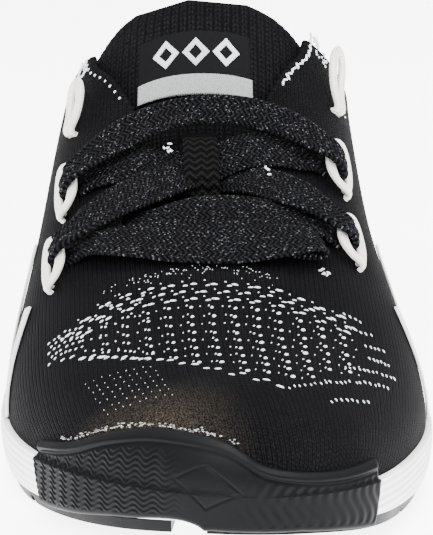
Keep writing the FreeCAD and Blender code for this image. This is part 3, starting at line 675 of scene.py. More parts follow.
def make_upper():
    """Outside, rounded edge and inside of the knit, one half at a time, joined along the ridge."""
    ts = upper_stations(420)
    tables = ARCS[np.rint(ts * ARC_ROWS).astype(int)]
    places = np.linspace(-1.0, 1.0, ARC_COLUMNS + 1)
    points, faces, uvs = [], [], []
    for side in (-1, 1):
        top = top_edge(ts, side)
        turn_top = np.arcsin(top)[:, None] * 2.0 / np.pi
        v = side * np.sin(np.pi / 2.0 * (1.0 + (turn_top - 1.0) * np.linspace(0.0, 1.0, 110)))
        t = np.broadcast_to(ts[:, None], v.shape)
        outer, inner = offset_skin(t, v, 0.0), offset_skin(t, v, -KNIT)
        edge, back = outer[:, -1], inner[:, -1]
        lean = unit(edge - outer[:, -4])
        rim = [edge * (1.0 - share) + back * share + lean * math.sin(math.pi * share) for share in RIM]
        closed = (top < 1e-4)[:, None, None]
        rim = np.where(closed, edge[:, None], np.stack(rim, axis=1))
        section = np.concatenate([outer, rim, inner[:, ::-1]], axis=1)
        arcs = np.stack([np.interp(row, places, table) for row, table in zip(v, tables)])
        over = np.repeat(arcs[:, -1:], len(RIM), axis=1)
        arcs = np.concatenate([arcs, over, arcs[:, ::-1]], axis=1)
        start = sum(len(half) for half in points)
        faces.append(grid_faces(*section.shape[:2], start=start, flip=side > 0))
        points.append(section.reshape(-1, 3))
        uvs.append(cloth_map(arcs, ridge_run(ts)[:, None]).reshape(-1, 2))
    obj = add_mesh("knit_shell", np.concatenate(points), np.concatenate(faces), np.concatenate(uvs))
    return outward(obj, weld=2e-6)


upper = paint(make_upper(), KNIT_BLACK)
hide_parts("knit_upper", "toe_puff", "heel_counter", "eyestay_inner", "eyestay_outer")
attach(upper, "shoe")


# ---- White stitches of the jacquard -------------------------------------------------------------
BAND_TOP = through(
    (-41, 63.5), (-38, 66.3), (-32, 70.4), (-25, 75), (-16, 76.6),
    (-6.5, 77.4), (3.5, 77), (13, 75.7), (22, 72.5), (33, 70),
)  # fmt: skip
BAND_LOW = through(
    (-41, 61), (-30, 52), (-21, 45.4), (-13, 40.5), (-8, 37),
    (-3, 33.5), (5, 29), (12, 26), (20, 32), (33, 43),
)  # fmt: skip
COLUMN = 4.95  # from one column of the band to the next
COLUMN_ZERO = -21.0
DASH_ROW, DOT_ROW = 3.2, 4.2  # from one row to the next
SIDE_ROWS = (  # (c, s) of the first and of the last stitch, and how many there are
    (29.5, 72.6, 33.6, 72.4, 4),
    (29.2, 66.5, 36.0, 68.3, 6),
    (34.0, 61.5, 38.9, 64.3, 5),
    (34.4, 56.0, 40.0, 59.0, 6),
    (27.5, 45.0, 41.2, 54.5, 12),
    (12.0, 25.0, 38.8, 47.6, 21),
    (21.5, 24.3, 31.8, 33.6, 8),
)
BEAD_RINGS, BEAD_POINTS = 5, 10


def bead(c, s, long, wide, tall, turn):
    """Small rounded stitch lying on the knit at (c, s), turned by an angle in degrees."""
    along = unit(chart(c + 0.5, s, 0.0) - chart(c - 0.5, s, 0.0))
    back = unit(chart(c, s + 0.5, 0.0) - chart(c, s - 0.5, 0.0))
    up = unit(np.cross(along, back))
    a = math.radians(turn)
    x = along * math.cos(a) + back * math.sin(a)
    lat = np.linspace(-0.5, 0.5, BEAD_RINGS)[:, None, None] * np.pi
    lon = np.linspace(0.0, TURN, BEAD_POINTS, endpoint=False)[None, :, None]
    flat = x * np.cos(lon) * long / 2.0 + np.cross(up, x) * np.sin(lon) * wide / 2.0
    return (chart(c, s, 0.0) + flat * np.cos(lat) + up * np.sin(lat) * tall).reshape(-1, 3)


def add_column(add, column):
    """Dashes along the top of the band, dots below them and two dashes at its lower edge."""
    c = COLUMN_ZERO + COLUMN * column
    top, low = float(BAND_TOP(c)), float(BAND_LOW(c))
    share = (column + 1) / 11.0
    tilt = -42.0 * (share - 0.42)
    for row in range(3 if column > -3 else 2):
        x = c + (row % 2) * COLUMN / 2.0
        s = float(BAND_TOP(x)) - DASH_ROW * row
        add(x + 0.7, s, 1.8, 0.72, tilt)
        add(x - 0.9, s - 0.5, 1.3, 0.45, tilt + 14)
        add(x - 1.7, s + 1.1, 0.5, 0.26, tilt)
    rows = max(0, int((top - 9.6 - low - 2.5) / DOT_ROW) + 1)
    for row in range(rows if column > -2 else 0):
        s = top - 10.2 - DOT_ROW * row
        size = 0.56 + 0.4 * min(1.0, max(share, 0.0) * 1.4) + 0.02 * row
        add(c, s, size * 1.35, size, 62)
        add(c - 1.1, s + 0.7, 0.7, 0.34, 50)
        add(c + COLUMN * (0.42 + 0.12 * (row % 2)), s + 0.3, 0.42, 0.32, 60)
    if column < 7:
        add(c - 1.2, low + 1.4, 1.7, 0.6, tilt - 8)
        add(c + 1.3, low - 0.6 - 0.25 * column, 1.7, 0.6, tilt - 12)


def add_outer_corner(add):
    """Close rows of short stitches at the outer end of the band, and along its two edges there."""
    for row in range(5):
        for i in range(7 - (row % 2)):
            c = -40.5 + 1.45 * i + 0.5 * (row % 2)
            add(c, 60.6 + 2.3 * row + 0.12 * i - 0.75 * max(0, i - 3), 0.9, 0.34, 40)
    for i in range(9):
        c = -32.0 + 1.9 * i
        low, top = float(BAND_LOW(c)), float(BAND_TOP(c))
        add(c, low, 1.3, 0.5, 14)
        add(c + 0.8, low + 3.2, 0.6, 0.36, 30)
        add(c, top - 2.2 - 3.0 * (i % 2), 0.9, 0.5, 40)
        add(c + 0.6, top - 8.5 - 2.2 * (i % 3), 0.6, 0.36, 40)


def make_stitches():
    stitches = []

    def add(c, s, long, wide, turn, tall=0.26):
        jitter = rng.normal(0.0, 1.0, 4)
        grow = 1.0 + 0.1 * jitter[2]
        place = c + 0.14 * jitter[0], s + 0.2 * jitter[1]
        stitches.append(bead(*place, long * grow, wide * grow, tall, turn + 7 * jitter[3]))

    for column in range(-3, 11):
        add_column(add, column)
    add_outer_corner(add)
    for c0, s0, c1, s1, count in SIDE_ROWS:
        for i in range(count):
            share = i / (count - 1)
            add(c0 + (c1 - c0) * share, s0 + (s1 - s0) * share, 1.05, 0.34, -62)
    for _ in range(90):  # specks behind the band
        c = rng.uniform(-27.0, 14.0)
        add(c, 85.0 - 0.006 * c * c - abs(rng.normal(0.0, 2.4)), 0.32, 0.2, 90 * rng.random(), 0.12)
    for i in range(9):  # specks before it
        for row in range(7):
            add(-32.0 + 1.9 * i + 0.5 * row, 41.5 - 2.6 * row - 0.35 * i, 0.3, 0.2, 60, 0.1)
    return bead_mesh("jacquard_stitches", stitches)


def bead_mesh(name, beads):
    ball = grid_faces(BEAD_RINGS, BEAD_POINTS, loop=True)
    faces = np.concatenate([ball + i * BEAD_RINGS * BEAD_POINTS for i in range(len(beads))])
    return add_mesh(name, np.concatenate(beads), faces)


stitches = paint(make_stitches(), YARN_WHITE)
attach(stitches, "shoe")


TUFTS = (  # side, s, distance off the throat, count
    (-1, 164.5, 2.6, 26),
    (1, 165.5, 3.0, 24),
    (1, 160.0, 8.0, 22),
)
STRAYS = (  # c, s, h, count
    (-8.4, 121.5, 5.0, 6),
    (13.5, 115.5, 4.2, 3),
    (26.0, 88.0, 0.1, 7),
    (-33.5, 110.0, 0.1, 4),
    (33.0, 112.0, 0.1, 5),
)


def by_throat(s, side, off):
    """Arc length of the place that lies off outside the edge of the throat."""
    return float(arc_to(throat_middle(s) + side * (float(throat_half(s)) + off), s, 0.0))


def make_edge_yarn():
    """White yarn along the throat, white knit at its top corners, and a few stray threads."""
    beads = []
    for s in np.arange(143.0, 167.0, 2.4):
        beads.append(bead(by_throat(s, -1, 0.7), s, 0.7, 0.5, 0.35, 30 + rng.normal(0, 12)))
    for i, s in enumerate(np.arange(146.0, 167.0, 1.15)):
        turn = 44 if i % 2 else 98
        beads.append(bead(by_throat(s, 1, 0.7), s, 1.9, 0.75, 0.35, turn + rng.normal(0, 12)))
    for side, s0, off, count in TUFTS:
        for _ in range(count):
            s = s0 + rng.uniform(-3.2, 3.2)
            c = by_throat(s, side, off + rng.uniform(-1.6, 1.6))
            beads.append(bead(c, s, 1.5, 0.8, 0.3, 60 + rng.normal(0, 25)))
    for c, s, h, count in STRAYS:
        lift = chart(c, s, h) - chart(c, s, 0.0)
        for _ in range(count):
            place = c + rng.normal(0, 0.7), s + rng.normal(0, 1.0)
            beads.append(bead(*place, 1.2, 0.5, 0.3, 180 * rng.random()) + lift)
    return bead_mesh("edge_yarn", beads)


edge_yarn = paint(make_edge_yarn(), YARN_WHITE)
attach(edge_yarn, "shoe")


# ---- Sole ---------------------------------------------------------------------------------------
SIDEWALL_Z = (-4.0, 2.0, 6.0, 11.0, 17.0, 24.0, 32.0)
SIDEWALL_IN = (4.2, 1.9, 0.6, 0.0, 0.2, 1.0, 2.0)  # how far in the side stands at those heights
SIDE_RIB, SIDE_RIB_DEPTH = 1.7, 0.16
ARCH_AT, ARCH_LONG, ARCH_RISE = 150.0, 24.0, 2.5


def outline(turn, inset):
    """Edge of the sole: turn runs 0 to 1 back along the inner side, 1 to 2 forward on the outer."""

    def edge(a):
        a = np.mod(a, 2.0)
        t = np.where(a <= 1.0, a, 2.0 - a)
        x = np.where(a <= 1.0, INNER_EDGE(t), OUTER_EDGE(t))
        return np.stack([x, distance(t)], axis=-1)

    step = 2e-3
    tangent = unit(edge(turn + step) - edge(turn - step))
    out = np.stack([tangent[..., 1], -tangent[..., 0]], axis=-1)
    return edge(turn) - out * np.asarray(inset)[..., None]


def sole_bottom(s):
    return GROUND(station(s)) + TREAD + ARCH_RISE * np.exp(-(((s - ARCH_AT) / ARCH_LONG) ** 2))


def across_between(first, last, shares):
    """Rows of points from first to last, for each row of the two."""
    return first[:, None] * (1.0 - shares)[None, :, None] + last[:, None] * shares[None, :, None]


def make_midsole():
    turns = np.linspace(0.004, 0.996, 700)
    levels = np.linspace(0.0, 1.0, 46)
    low, high = sole_bottom(distance(turns)), FEATHER(turns)
    z = low[:, None] + (high - low)[:, None] * levels
    edge = np.minimum(levels, 1.0 - levels)
    soft = np.clip(1.0 - edge / 0.05, 0.0, 1.0) ** 2
    rib = SIDE_RIB_DEPTH * np.cos(TURN * z / SIDE_RIB) * np.clip(edge / 0.12, 0.0, 1.0)
    inset = np.interp(z, SIDEWALL_Z, SIDEWALL_IN) + soft - rib
    sides = []
    for turn in (turns, 2.0 - turns):
        plan = outline(np.broadcast_to(turn[:, None], z.shape), inset)
        sides.append(stack(plan[..., 0], plan[..., 1], z))
    inner, outer = sides
    shares = np.linspace(0.0, 1.0, 16)[1:-1]
    top = across_between(outer[:, -1], inner[:, -1], shares)
    under = across_between(inner[:, 0], outer[:, 0], shares)
    return rings_mesh("midsole_foam", np.concatenate([outer, top, inner[:, ::-1], under], axis=1))


midsole = paint(make_midsole(), FOAM_WHITE)
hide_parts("midsole")
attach(midsole, "shoe")

for node in ("outsole_forefoot_outer", "outsole_forefoot_inner", "outsole_heel"):
    dress(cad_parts[node], RUBBER_BLACK)


# ---- Toe bumper ---------------------------------------------------------------------------------
TOE_CENTRE = (2.0, 60.0)
BUMPER_TOP = through(
    (-44, 15.0), (-41, 16.4), (-32, 19.4), (-24.7, 22.8), (-19, 24.6),
    (-13.8, 25.6), (-7, 25.8), (-1, 25.4), (3.4, 24.4), (6.6, 22.8),
    (10, 20.8), (18.5, 18.8), (29, 17.8), (35, 18.0), (39.5, 18.4),
)  # fmt: skip
BUMPER_LOW = through(
    (-44, 4.5), (-38, 3.6), (-20, 6.3), (-4, 6.8), (-1, 4.6),
    (1.5, 1.6), (4, 0.6), (33, 0.6), (39.5, 3.0),
)  # fmt: skip
BUMPER_ENDS = (-44.0, 39.5)
RIM_WIDTH, END_WIDTH = 1.3, 1.6  # how far in the rubber thins towards its edges and its ends
DEGREE_RUN, END_RUN = 0.85, 95.0  # millimetres round the toe to a degree, and from end to end
MARK_AT, MARK_SIZE = -3.0, 4.6  # the plain diamond in the middle of the toe
WAVE_LONG, RIB_PITCH, RIB_HEIGHT = 4.4, 1.2, 0.13
UPRIGHT_PITCH, UPRIGHT_HEIGHT = 2.1, 0.1
RAIL_HEIGHT, MARK_DEPTH = 0.35, 0.22


def round_toe(angle, reach):
    """The pair (x, s) at a reach from the toe's centre; angle 0 points forward."""
    return TOE_CENTRE[0] + reach * np.sin(angle), TOE_CENTRE[1] - reach * np.cos(angle)


def toe_reach(angle, z):
    return solve(lambda reach: ~inside(*round_toe(angle, reach), z), 90.0, steps=34)


def bump_at(value, place, width, power=2):
    return np.exp(-(((value - place) / width) ** power))


def bumper_relief(run, z, low, high, k, end):
    """Ribs on the outer part, upright waves on the inner part, a mark between and a rail on top."""
    from_top, from_low = (1.0 - k) * (high - low), k * (high - low)
    wave = 0.5 - 0.5 * np.cos(TURN * run / WAVE_LONG)
    ribs = RIB_HEIGHT * np.cos(TURN * (z / RIB_PITCH + wave))
    upright = UPRIGHT_HEIGHT * np.cos(TURN * (run + 0.9 * np.sin(z / 1.6)) / UPRIGHT_PITCH)
    outer_part = 1.0 / (1.0 + np.exp((run + 2.5) / 0.8))
    pattern = ribs * outer_part + upright * (1.0 - outer_part)
    clear = np.clip((from_top - 2.6) / 0.8, 0.0, 1.0) * np.clip((from_low - 1.2) / 0.6, 0.0, 1.0) * end
    mark = np.abs(np.abs(run - MARK_AT) * 0.75 + np.abs(z - (low + high) / 2.0) - MARK_SIZE)
    plain = 1.0 - bump_at(run, MARK_AT, 8.5, 4)
    pattern = (pattern * plain - MARK_DEPTH * bump_at(mark, 0.0, 0.35)) * clear
    rail = RAIL_HEIGHT * (bump_at(from_top, 1.2, 0.7) - bump_at(from_top, 2.3, 0.4))
    return pattern, rail


def make_bumper():
    """Rubber round the toe, and the points along its top edge."""
    columns, rows = 560, 120
    k = np.linspace(0.0, 1.0, rows)[None, :]
    around = np.linspace(0.0, 1.0, columns)[:, None]
    left = np.radians(-64.0 + 5.0 * (1.0 - k) ** 1.5)
    right = np.radians(38.5 - 3.0 * (1.0 - k) ** 1.5)
    angle = left + (right - left) * around
    z = np.full((columns, rows), 12.0)
    for _ in range(5):
        x, s = round_toe(angle, toe_reach(angle, z) + BUMPER)
        x = np.clip(x, *BUMPER_ENDS)
        low, high = np.maximum(BUMPER_LOW(x), GROUND(station(s)) + 0.4), BUMPER_TOP(x)
        z = low + (high - low) * k
    reach = toe_reach(angle, z)
    pad = 10
    padded = np.pad(reach, ((0, 0), (pad, pad)), mode="edge")
    weights = np.hanning(2 * pad + 1)
    eased = sum(w * padded[:, i : i + rows] for i, w in enumerate(weights)) / weights.sum()
    reach = np.maximum(eased, reach)
    rim = np.clip(np.minimum(k, 1.0 - k) * (high - low) / RIM_WIDTH, 0.0, 1.0)
    end = np.clip(np.minimum(around, 1.0 - around) * END_RUN / END_WIDTH, 0.0, 1.0)
    pattern, rail = bumper_relief(np.degrees(angle) * DEGREE_RUN, z, low, high, k, end)
    out = reach + BUMPER * rounded(rim) * rounded(end) + pattern + rail * end * rim - 0.08
    outer = stack(*round_toe(angle, out), z)
    inner = stack(*round_toe(angle, reach - 1.0), z)[:, ::-1][:, ::6]
    return rings_mesh("toe_bumper_rubber", np.concatenate([outer, inner], axis=1)), outer[:, -1]


bumper, bumper_edge = make_bumper()
paint(bumper, RUBBER_BLACK)
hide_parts("toe_bumper")
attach(bumper, "shoe")


def make_fuzz():
    """Frayed light yarn where the rubber meets the knit."""
    beads = []
    ball = bead(0.0, 60.0, 0.62, 0.34, 0.16, 0.0) - chart(0.0, 60.0, 0.0)
    for _ in range(260):
        place = bumper_edge[int(rng.uniform(0.12, 0.66) * len(bumper_edge))]
        stray = [rng.normal(0, 0.3), 0.5 + abs(rng.normal(0, 0.5)), 0.15 + abs(rng.normal(0, 0.4))]
        beads.append(ball + place + np.array(stray))
    return bead_mesh("bumper_fuzz", beads)


fuzz = paint(make_fuzz(), YARN_GREY)
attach(fuzz, "shoe")


# ---- Inside: footbed, collar pad and lining -----------------------------------------------------
FOOTBED_TOP, FOOTBED_THICK, FOOTBED_CUP = 6.4, 3.0, 2.4


def make_footbed():
    turns = np.linspace(0.03, 0.975, 260)
    inset = np.full(turns.shape, EDGE_STEP + KNIT + 1.0)
    k = np.linspace(0.0, 1.0, 60)
    plan = across_between(outline(2.0 - turns, inset), outline(turns, inset), k)
    x, s = plan[..., 0], plan[..., 1]
    z = FEATHER(station(s)) + FOOTBED_TOP + FOOTBED_CUP * np.abs(2.0 * k - 1.0) ** 6
    rings = np.concatenate([stack(x, s, z), stack(x, s, z - FOOTBED_THICK)[:, ::-1]], axis=1)
    return rings_mesh("footbed_pad", rings, np.concatenate([plan, plan[:, ::-1]], axis=1))


footbed = paint(make_footbed(), FOOTBED_CLOTH)
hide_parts("footbed_cloth", "footbed_foam", "strobel_board")
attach(footbed, "shoe")


HEEL_CENTRE = (-1.0, 224.0)
COLLAR_FRONT = 158.0
STRAIGHT = 0.42  # share of each side that runs straight before it bends round the heel
COLLAR_END = 0.955
COLLAR_EDGE = 2.2  # the pad starts this far below the knit's edge
PAD_OUT, PAD_THIN, PAD_SWELL = 1.9, 2.8, 6.2  # depth at its outer edge, at its ends, and more between
SWELL_OVER = 0.16
PUFF, PUFF_DROP = 0.9, 30.0  # crown of the pad, and how far down it reaches
LINING_DEPTH, LINING_DROP, LINING_EASE = 3.6, 26.0, 10.0  # the lining below the pad


def rear_points(q, z, depth):
    """The pair (x, s) at a depth inside the skin: q runs -1 (outer, front) over the heel to 1."""
    side = np.sign(q) + (q == 0)
    share = np.clip((1.0 - np.abs(q)) / STRAIGHT, 0.0, 1.0)
    bend = np.clip((1.0 - STRAIGHT - np.abs(q)) / (1.0 - STRAIGHT), 0.0, 1.0)
    s0 = COLLAR_FRONT + (HEEL_CENTRE[1] - COLLAR_FRONT) * share
    angle = (1.0 - bend) * np.pi / 2.0

    def place(reach):
        return HEEL_CENTRE[0] + reach * side * np.sin(angle), s0 + reach * np.cos(angle)

    return place(solve(lambda reach: ~inside(*place(reach), z), 80.0, steps=34) - depth)


def make_collar():
    """Padded collar and lining: over the knit's edge, round, and down the inside to the footbed."""
    q = np.linspace(-COLLAR_END, COLLAR_END, 420)
    z = np.full(q.shape, 75.0)
    for _ in range(30):
        x, s = rear_points(q, z, 0.0)
        z = 0.5 * z + 0.5 * collar_height(x, s)
    swell = smooth((COLLAR_END - np.abs(q)) / SWELL_OVER)
    depth = PAD_THIN + PAD_SWELL * swell
    start = z - COLLAR_EDGE
    sections = []
    for a in np.linspace(0.0, np.pi, 18):
        back = PAD_OUT + (depth - PAD_OUT) * (1.0 - math.cos(a)) / 2.0
        sections.append((back, start + (depth - PAD_OUT) / 2.0 * math.sin(a) * 0.85))
    bottom = FEATHER(station(s)) + 5.0
    for share in np.linspace(0.0, 1.0, 40)[1:]:
        fall = (start - bottom) * share
        puff = PUFF * np.sin(np.pi * np.clip(fall / PUFF_DROP, 0.0, 1.0)) * swell
        back = depth + puff - (depth - LINING_DEPTH) * smooth((fall - LINING_DROP) / LINING_EASE)
        sections.append((back, start - fall))
    front = np.stack([stack(*rear_points(q, level, back), level) for back, level in sections], axis=1)
    levels = [sections[i][1] for i in (-1, len(sections) // 2, 0)]
    hidden = np.stack([stack(*rear_points(q, level, KNIT + 0.3), level) for level in levels], axis=1)
    drop = np.concatenate([path_length(front[200]), [0.0, 30.0, 60.0]])
    uv = cloth_map(path_length(front[:, 0])[:, None], drop)
    return rings_mesh("collar_pad", np.concatenate([front, hidden], axis=1), uv)


collar = paint(make_collar(), LINING_BLACK)
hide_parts("collar_lining", "collar_foam")
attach(collar, "shoe")


# ---- Tongue -------------------------------------------------------------------------------------
TONGUE_FRONT, TONGUE_BEND, TONGUE_TOP = 92.0, 141.0, 164.5
TONGUE_LOW, TONGUE_HIGH = -7.4, -2.8  # heights of its two faces
FLAP_CORNERS = through(  # how far the free end reaches past TONGUE_TOP, across it
    (-1, 0.5), (-0.97, 3.3), (-0.88, 5.0), (-0.7, 4.4), (-0.48, 2.6), (-0.25, 1.0), (0, 0.1),
    (0.25, 0.0), (0.5, 0.4), (0.75, 1.3), (0.88, 1.6), (0.96, 0.6), (1, -1.5),
)  # fmt: skip
TONGUE_RIB, TONGUE_RIB_HEIGHT = 2.3, 0.32
UNDER_LACES = (12.0, 20.5)  # half width at the front and at the bend
WIDENS_AT, WIDENS_OVER = 134.0, 12.0
FLARE, TIP_ROUND, TONGUE_PUFF = 5.6, 3.4, 0.5


def make_tongue():
    """Pad that runs narrow under the laces and widens to fill the throat above them."""
    s = np.linspace(TONGUE_FRONT, TONGUE_TOP, 320)
    k, h = oval(260, 7.0, 2.6)
    narrow = np.interp(s, (TONGUE_FRONT, TONGUE_BEND), UNDER_LACES)
    free = np.clip((s - TONGUE_BEND) / (TONGUE_TOP - TONGUE_BEND), 0.0, 1.0)
    wide = np.minimum(THROAT(s), THROAT(158.0)) - 1.0 + FLARE * free**0.5
    share = smooth((s - WIDENS_AT) / WIDENS_OVER)
    edges = []
    for side in (1, -1):
        filled = arc_to(throat_middle(s) + side * wide, s, TONGUE_HIGH)
        edges.append((THROAT_SHIFT + side * narrow) * (1.0 - share) + filled * share)
    c = (edges[0] + edges[1])[:, None] / 2.0 + (edges[0] - edges[1])[:, None] / 2.0 * k
    flat = np.clip((1.0 - np.abs(k)) * 30.0, 0.0, 1.0)
    rib = TONGUE_RIB_HEIGHT * np.abs(np.cos(np.pi * c / TONGUE_RIB)) * flat
    puff = TONGUE_PUFF * (1.0 - k**2) * np.sin(np.pi * np.clip((s - 138.0) / 26.5, 0.0, 1.0))[:, None]
    face = h * ((TONGUE_HIGH - TONGUE_LOW) / 2.0 + puff) + rib * np.sign(h)
    middle = (TONGUE_LOW + TONGUE_HIGH) / 2.0 - (1.0 - share)[:, None]
    height = middle + face * rounded((TONGUE_TOP - s) / TIP_ROUND)[:, None]
    back = s[:, None] + free[:, None] ** 2 * FLAP_CORNERS(k)
    return rings_mesh("tongue_pad", chart(c, back, height), cloth_map(c, s[:, None]))


tongue = paint(make_tongue(), TONGUE_BLACK)
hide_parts("tongue_body", "tongue_flap")
chart(THROAT_SHIFT, 138.5, -5.0) * MM
chart(THROAT_SHIFT, 144.0, -5.0) * MM
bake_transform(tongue)  # fmt: skip

LABEL = (141.0, 155.2, -17.6, 11.9)  # s and c of its edges
BAND = (140.6, 145.2, -17.4, 12.2)
LABEL_LOW = TONGUE_HIGH + 0.1
CROWN = 0.5
DIAMONDS, DIAMOND_SIZE, DIAMOND_PITCH = (-9.8, 150.2), 3.4, 7.6


def patch(name, edges, low, high):
    """Flat piece lying on the tongue between two heights, with softened edges."""
    rows, columns = 60, 90
    s0, s1, c0, c1 = edges
    s, c = np.meshgrid(np.linspace(s0, s1, rows), np.linspace(c0, c1, columns), indexing="ij")
    near = np.minimum(np.minimum(s - s0, s1 - s), np.minimum(c - c0, c1 - c))
    puff = CROWN * (1.0 - ((2 * c - c0 - c1) / (c1 - c0)) ** 2)
    over = chart(c, s, low + (high - low) * (0.35 + 0.65 * rounded(near / 0.5)) + puff)
    under = chart(c, s, low)
    order = np.arange(rows * columns).reshape(rows, columns)
    border = np.concatenate([order[0], order[1:, -1], order[-1, -2::-1], order[-2:0:-1, 0]])
    after = np.roll(border, -1)
    n = rows * columns
    wall = np.stack([border, after, after + n, border + n], axis=1)
    faces = [grid_faces(rows, columns), grid_faces(rows, columns, start=n, flip=True), wall]
    uv = cloth_map(c, s).reshape(-1, 2)
    points = np.concatenate([over.reshape(-1, 3), under.reshape(-1, 3)])
    return outward(add_mesh(name, points, np.concatenate(faces), np.concatenate([uv, uv])))


def diamond(name, c, s, low):
    """Raised woven diamond with a hollow middle."""
    a = np.arange(4) * np.pi / 2.0
    rings = []
    for grow, h in ((1.0, 0.0), (1.0, 0.25), (0.9, 0.36), (0.62, 0.36), (0.52, 0.22), (0.52, 0.0)):
        size = DIAMOND_SIZE * grow
        rings.append(chart(c + size * np.cos(a), s + size * np.sin(a) * 0.95, low + h))
    points = np.concatenate(rings)
    faces = grid_faces(len(rings), 4, loop=True)
    return add_mesh(name, points, faces, np.tile([[c, s]], (len(points), 1)), smooth=False)


label = paint(patch("label_field", LABEL, LABEL_LOW, LABEL_LOW + 0.6), LABEL_BLACK)
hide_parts("tongue_label")
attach(label, "tongue_top")
band = paint(patch("label_band", BAND, LABEL_LOW + 0.45, LABEL_LOW + 0.75), GREY_BAND)
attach(band, "tongue_top")
for i in range(3):
    mark = diamond(f"label_diamond_{i}", DIAMONDS[0] + DIAMOND_PITCH * i, DIAMONDS[1], LABEL_LOW + 1.0)
    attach(paint(mark, SILVER_YARN), "tongue_top")

KEEPER_RISE = through((111.5, 0.0), (114.5, 3.4), (121, 4.4), (127, 3.6), (131.5, 0.0))
KEEPER_WIDTH, KEEPER_THICK = 8.6, 1.0


def make_keeper():
    s = np.linspace(111.5, 131.5, 120)
    c = THROAT_SHIFT
    height = TONGUE_HIGH - 0.45 + KEEPER_RISE(s)
    centre = chart(c, s, height)
    across = unit(chart(c + 0.5, s, height) - chart(c - 0.5, s, height))
    lift = unit(np.cross(across, np.gradient(centre, axis=0)))
    return strip("keeper_webbing", centre, across, lift, KEEPER_WIDTH, KEEPER_THICK)


keeper = paint(make_keeper(), WEBBING)
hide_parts("lace_keeper")
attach(keeper, "shoe")


# ---- Lace loops ---------------------------------------------------------------------------------
LOOPS = {  # (c, s) of the feet and of the tip, height of the tip, and whether the lace holds it
    "low_outer": ((-40.2, 93.4), (-35.4, 98.6), 3.4, True),
    "low_inner": ((36.2, 98.6), (30.4, 102.8), 3.4, True),
    "mid_outer": ((-37.4, 119.4), (-32.2, 123.2), 3.4, True),
    "mid_inner": ((36.4, 126.4), (29.8, 128.6), 3.4, True),
    "top_outer": ((-37.4, 145.2), (-32.2, 151.6), 4.4, False),
    "top_inner": ((39.2, 153.0), (34.4, 161.5), 5.8, False),
}
LOOP_FOOT = 1.5
LACED_SHAPE = [  # (share of the way from feet to tip, sideways, lift) round a loop spread by the lace
    (0, -1.1, 0), (0.45, -2.6, 0), (0.84, -3.8, 0), (1.02, -2.8, 0), (1.05, 0, 0.2),
    (1.02, 2.8, 1.4), (0.84, 4.3, 2.8), (0.45, 3.4, 2.4), (0, 1.1, 0),
]
FREE_SHAPE = [  # the same for a loop that stands free
    (0, -1.1, 0), (0.3, -1.8, 0), (0.68, -2.4, 0), (0.93, -1.6, 0), (1.03, 0, 0),
    (0.93, 1.6, 0), (0.68, 2.4, 0), (0.3, 1.8, 0), (0, 1.1, 0),
]
CORD_LOBES = 4
CORD_WIDE, CORD_THICK = 2.5, 1.35


def loop_line(name):
    (c0, s0), (c1, s1), top, laced = LOOPS[name]
    length = math.hypot(c1 - c0, s1 - s0)
    across = (0.0, 1.0) if laced else ((s1 - s0) / length, (c0 - c1) / length)
    places = []
    for share, side, lift in LACED_SHAPE if laced else FREE_SHAPE:
        c = c0 + (c1 - c0) * share + across[0] * side
        s = s0 + (s1 - s0) * share + across[1] * side
        places.append((c, s, LOOP_FOOT + (top - LOOP_FOOT) * share**1.5 + lift))
    roots = [(c, s, h - LOOP_FOOT - 1.0) for c, s, h in (places[0], places[-1])]
    return resample([roots[0]] + places + [roots[1]], 0.35)


def grooved(a):
    """Outline of the flat cord: round strands side by side."""
    k = np.cos(a)
    lobe = np.abs(np.sin(np.pi * CORD_LOBES * (k + 1.0) / 2.0)) ** 0.5
    high = np.sign(np.sin(a)) * np.abs(np.sin(a)) ** 0.35
    return k * CORD_WIDE / 2.0, high * (0.55 + 0.45 * lobe) * CORD_THICK / 2.0


def make_loop(name):
    c, s, h = loop_line(name).T
    centre = chart(c, s, h)
    run = unit(np.gradient(centre, axis=0))
    across = unit(np.cross(unit(chart(c, s, h + 1.0) - centre), run))
    k, rise = grooved(np.linspace(0.0, TURN, 48, endpoint=False))
    rings = centre[:, None] + across[:, None] * k[:, None] + np.cross(run, across)[:, None] * rise[:, None]
    obj = rings_mesh(f"loop_{name}", rings, cloth_map(k, path_length(centre)[:, None]))
    paint(obj, CORD_WHITE)
    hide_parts(f"lace_loop_{name}")
    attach(obj, f"loop_{name}" if name.startswith("top") else "shoe")


for loop_name in LOOPS:
    make_loop(loop_name)


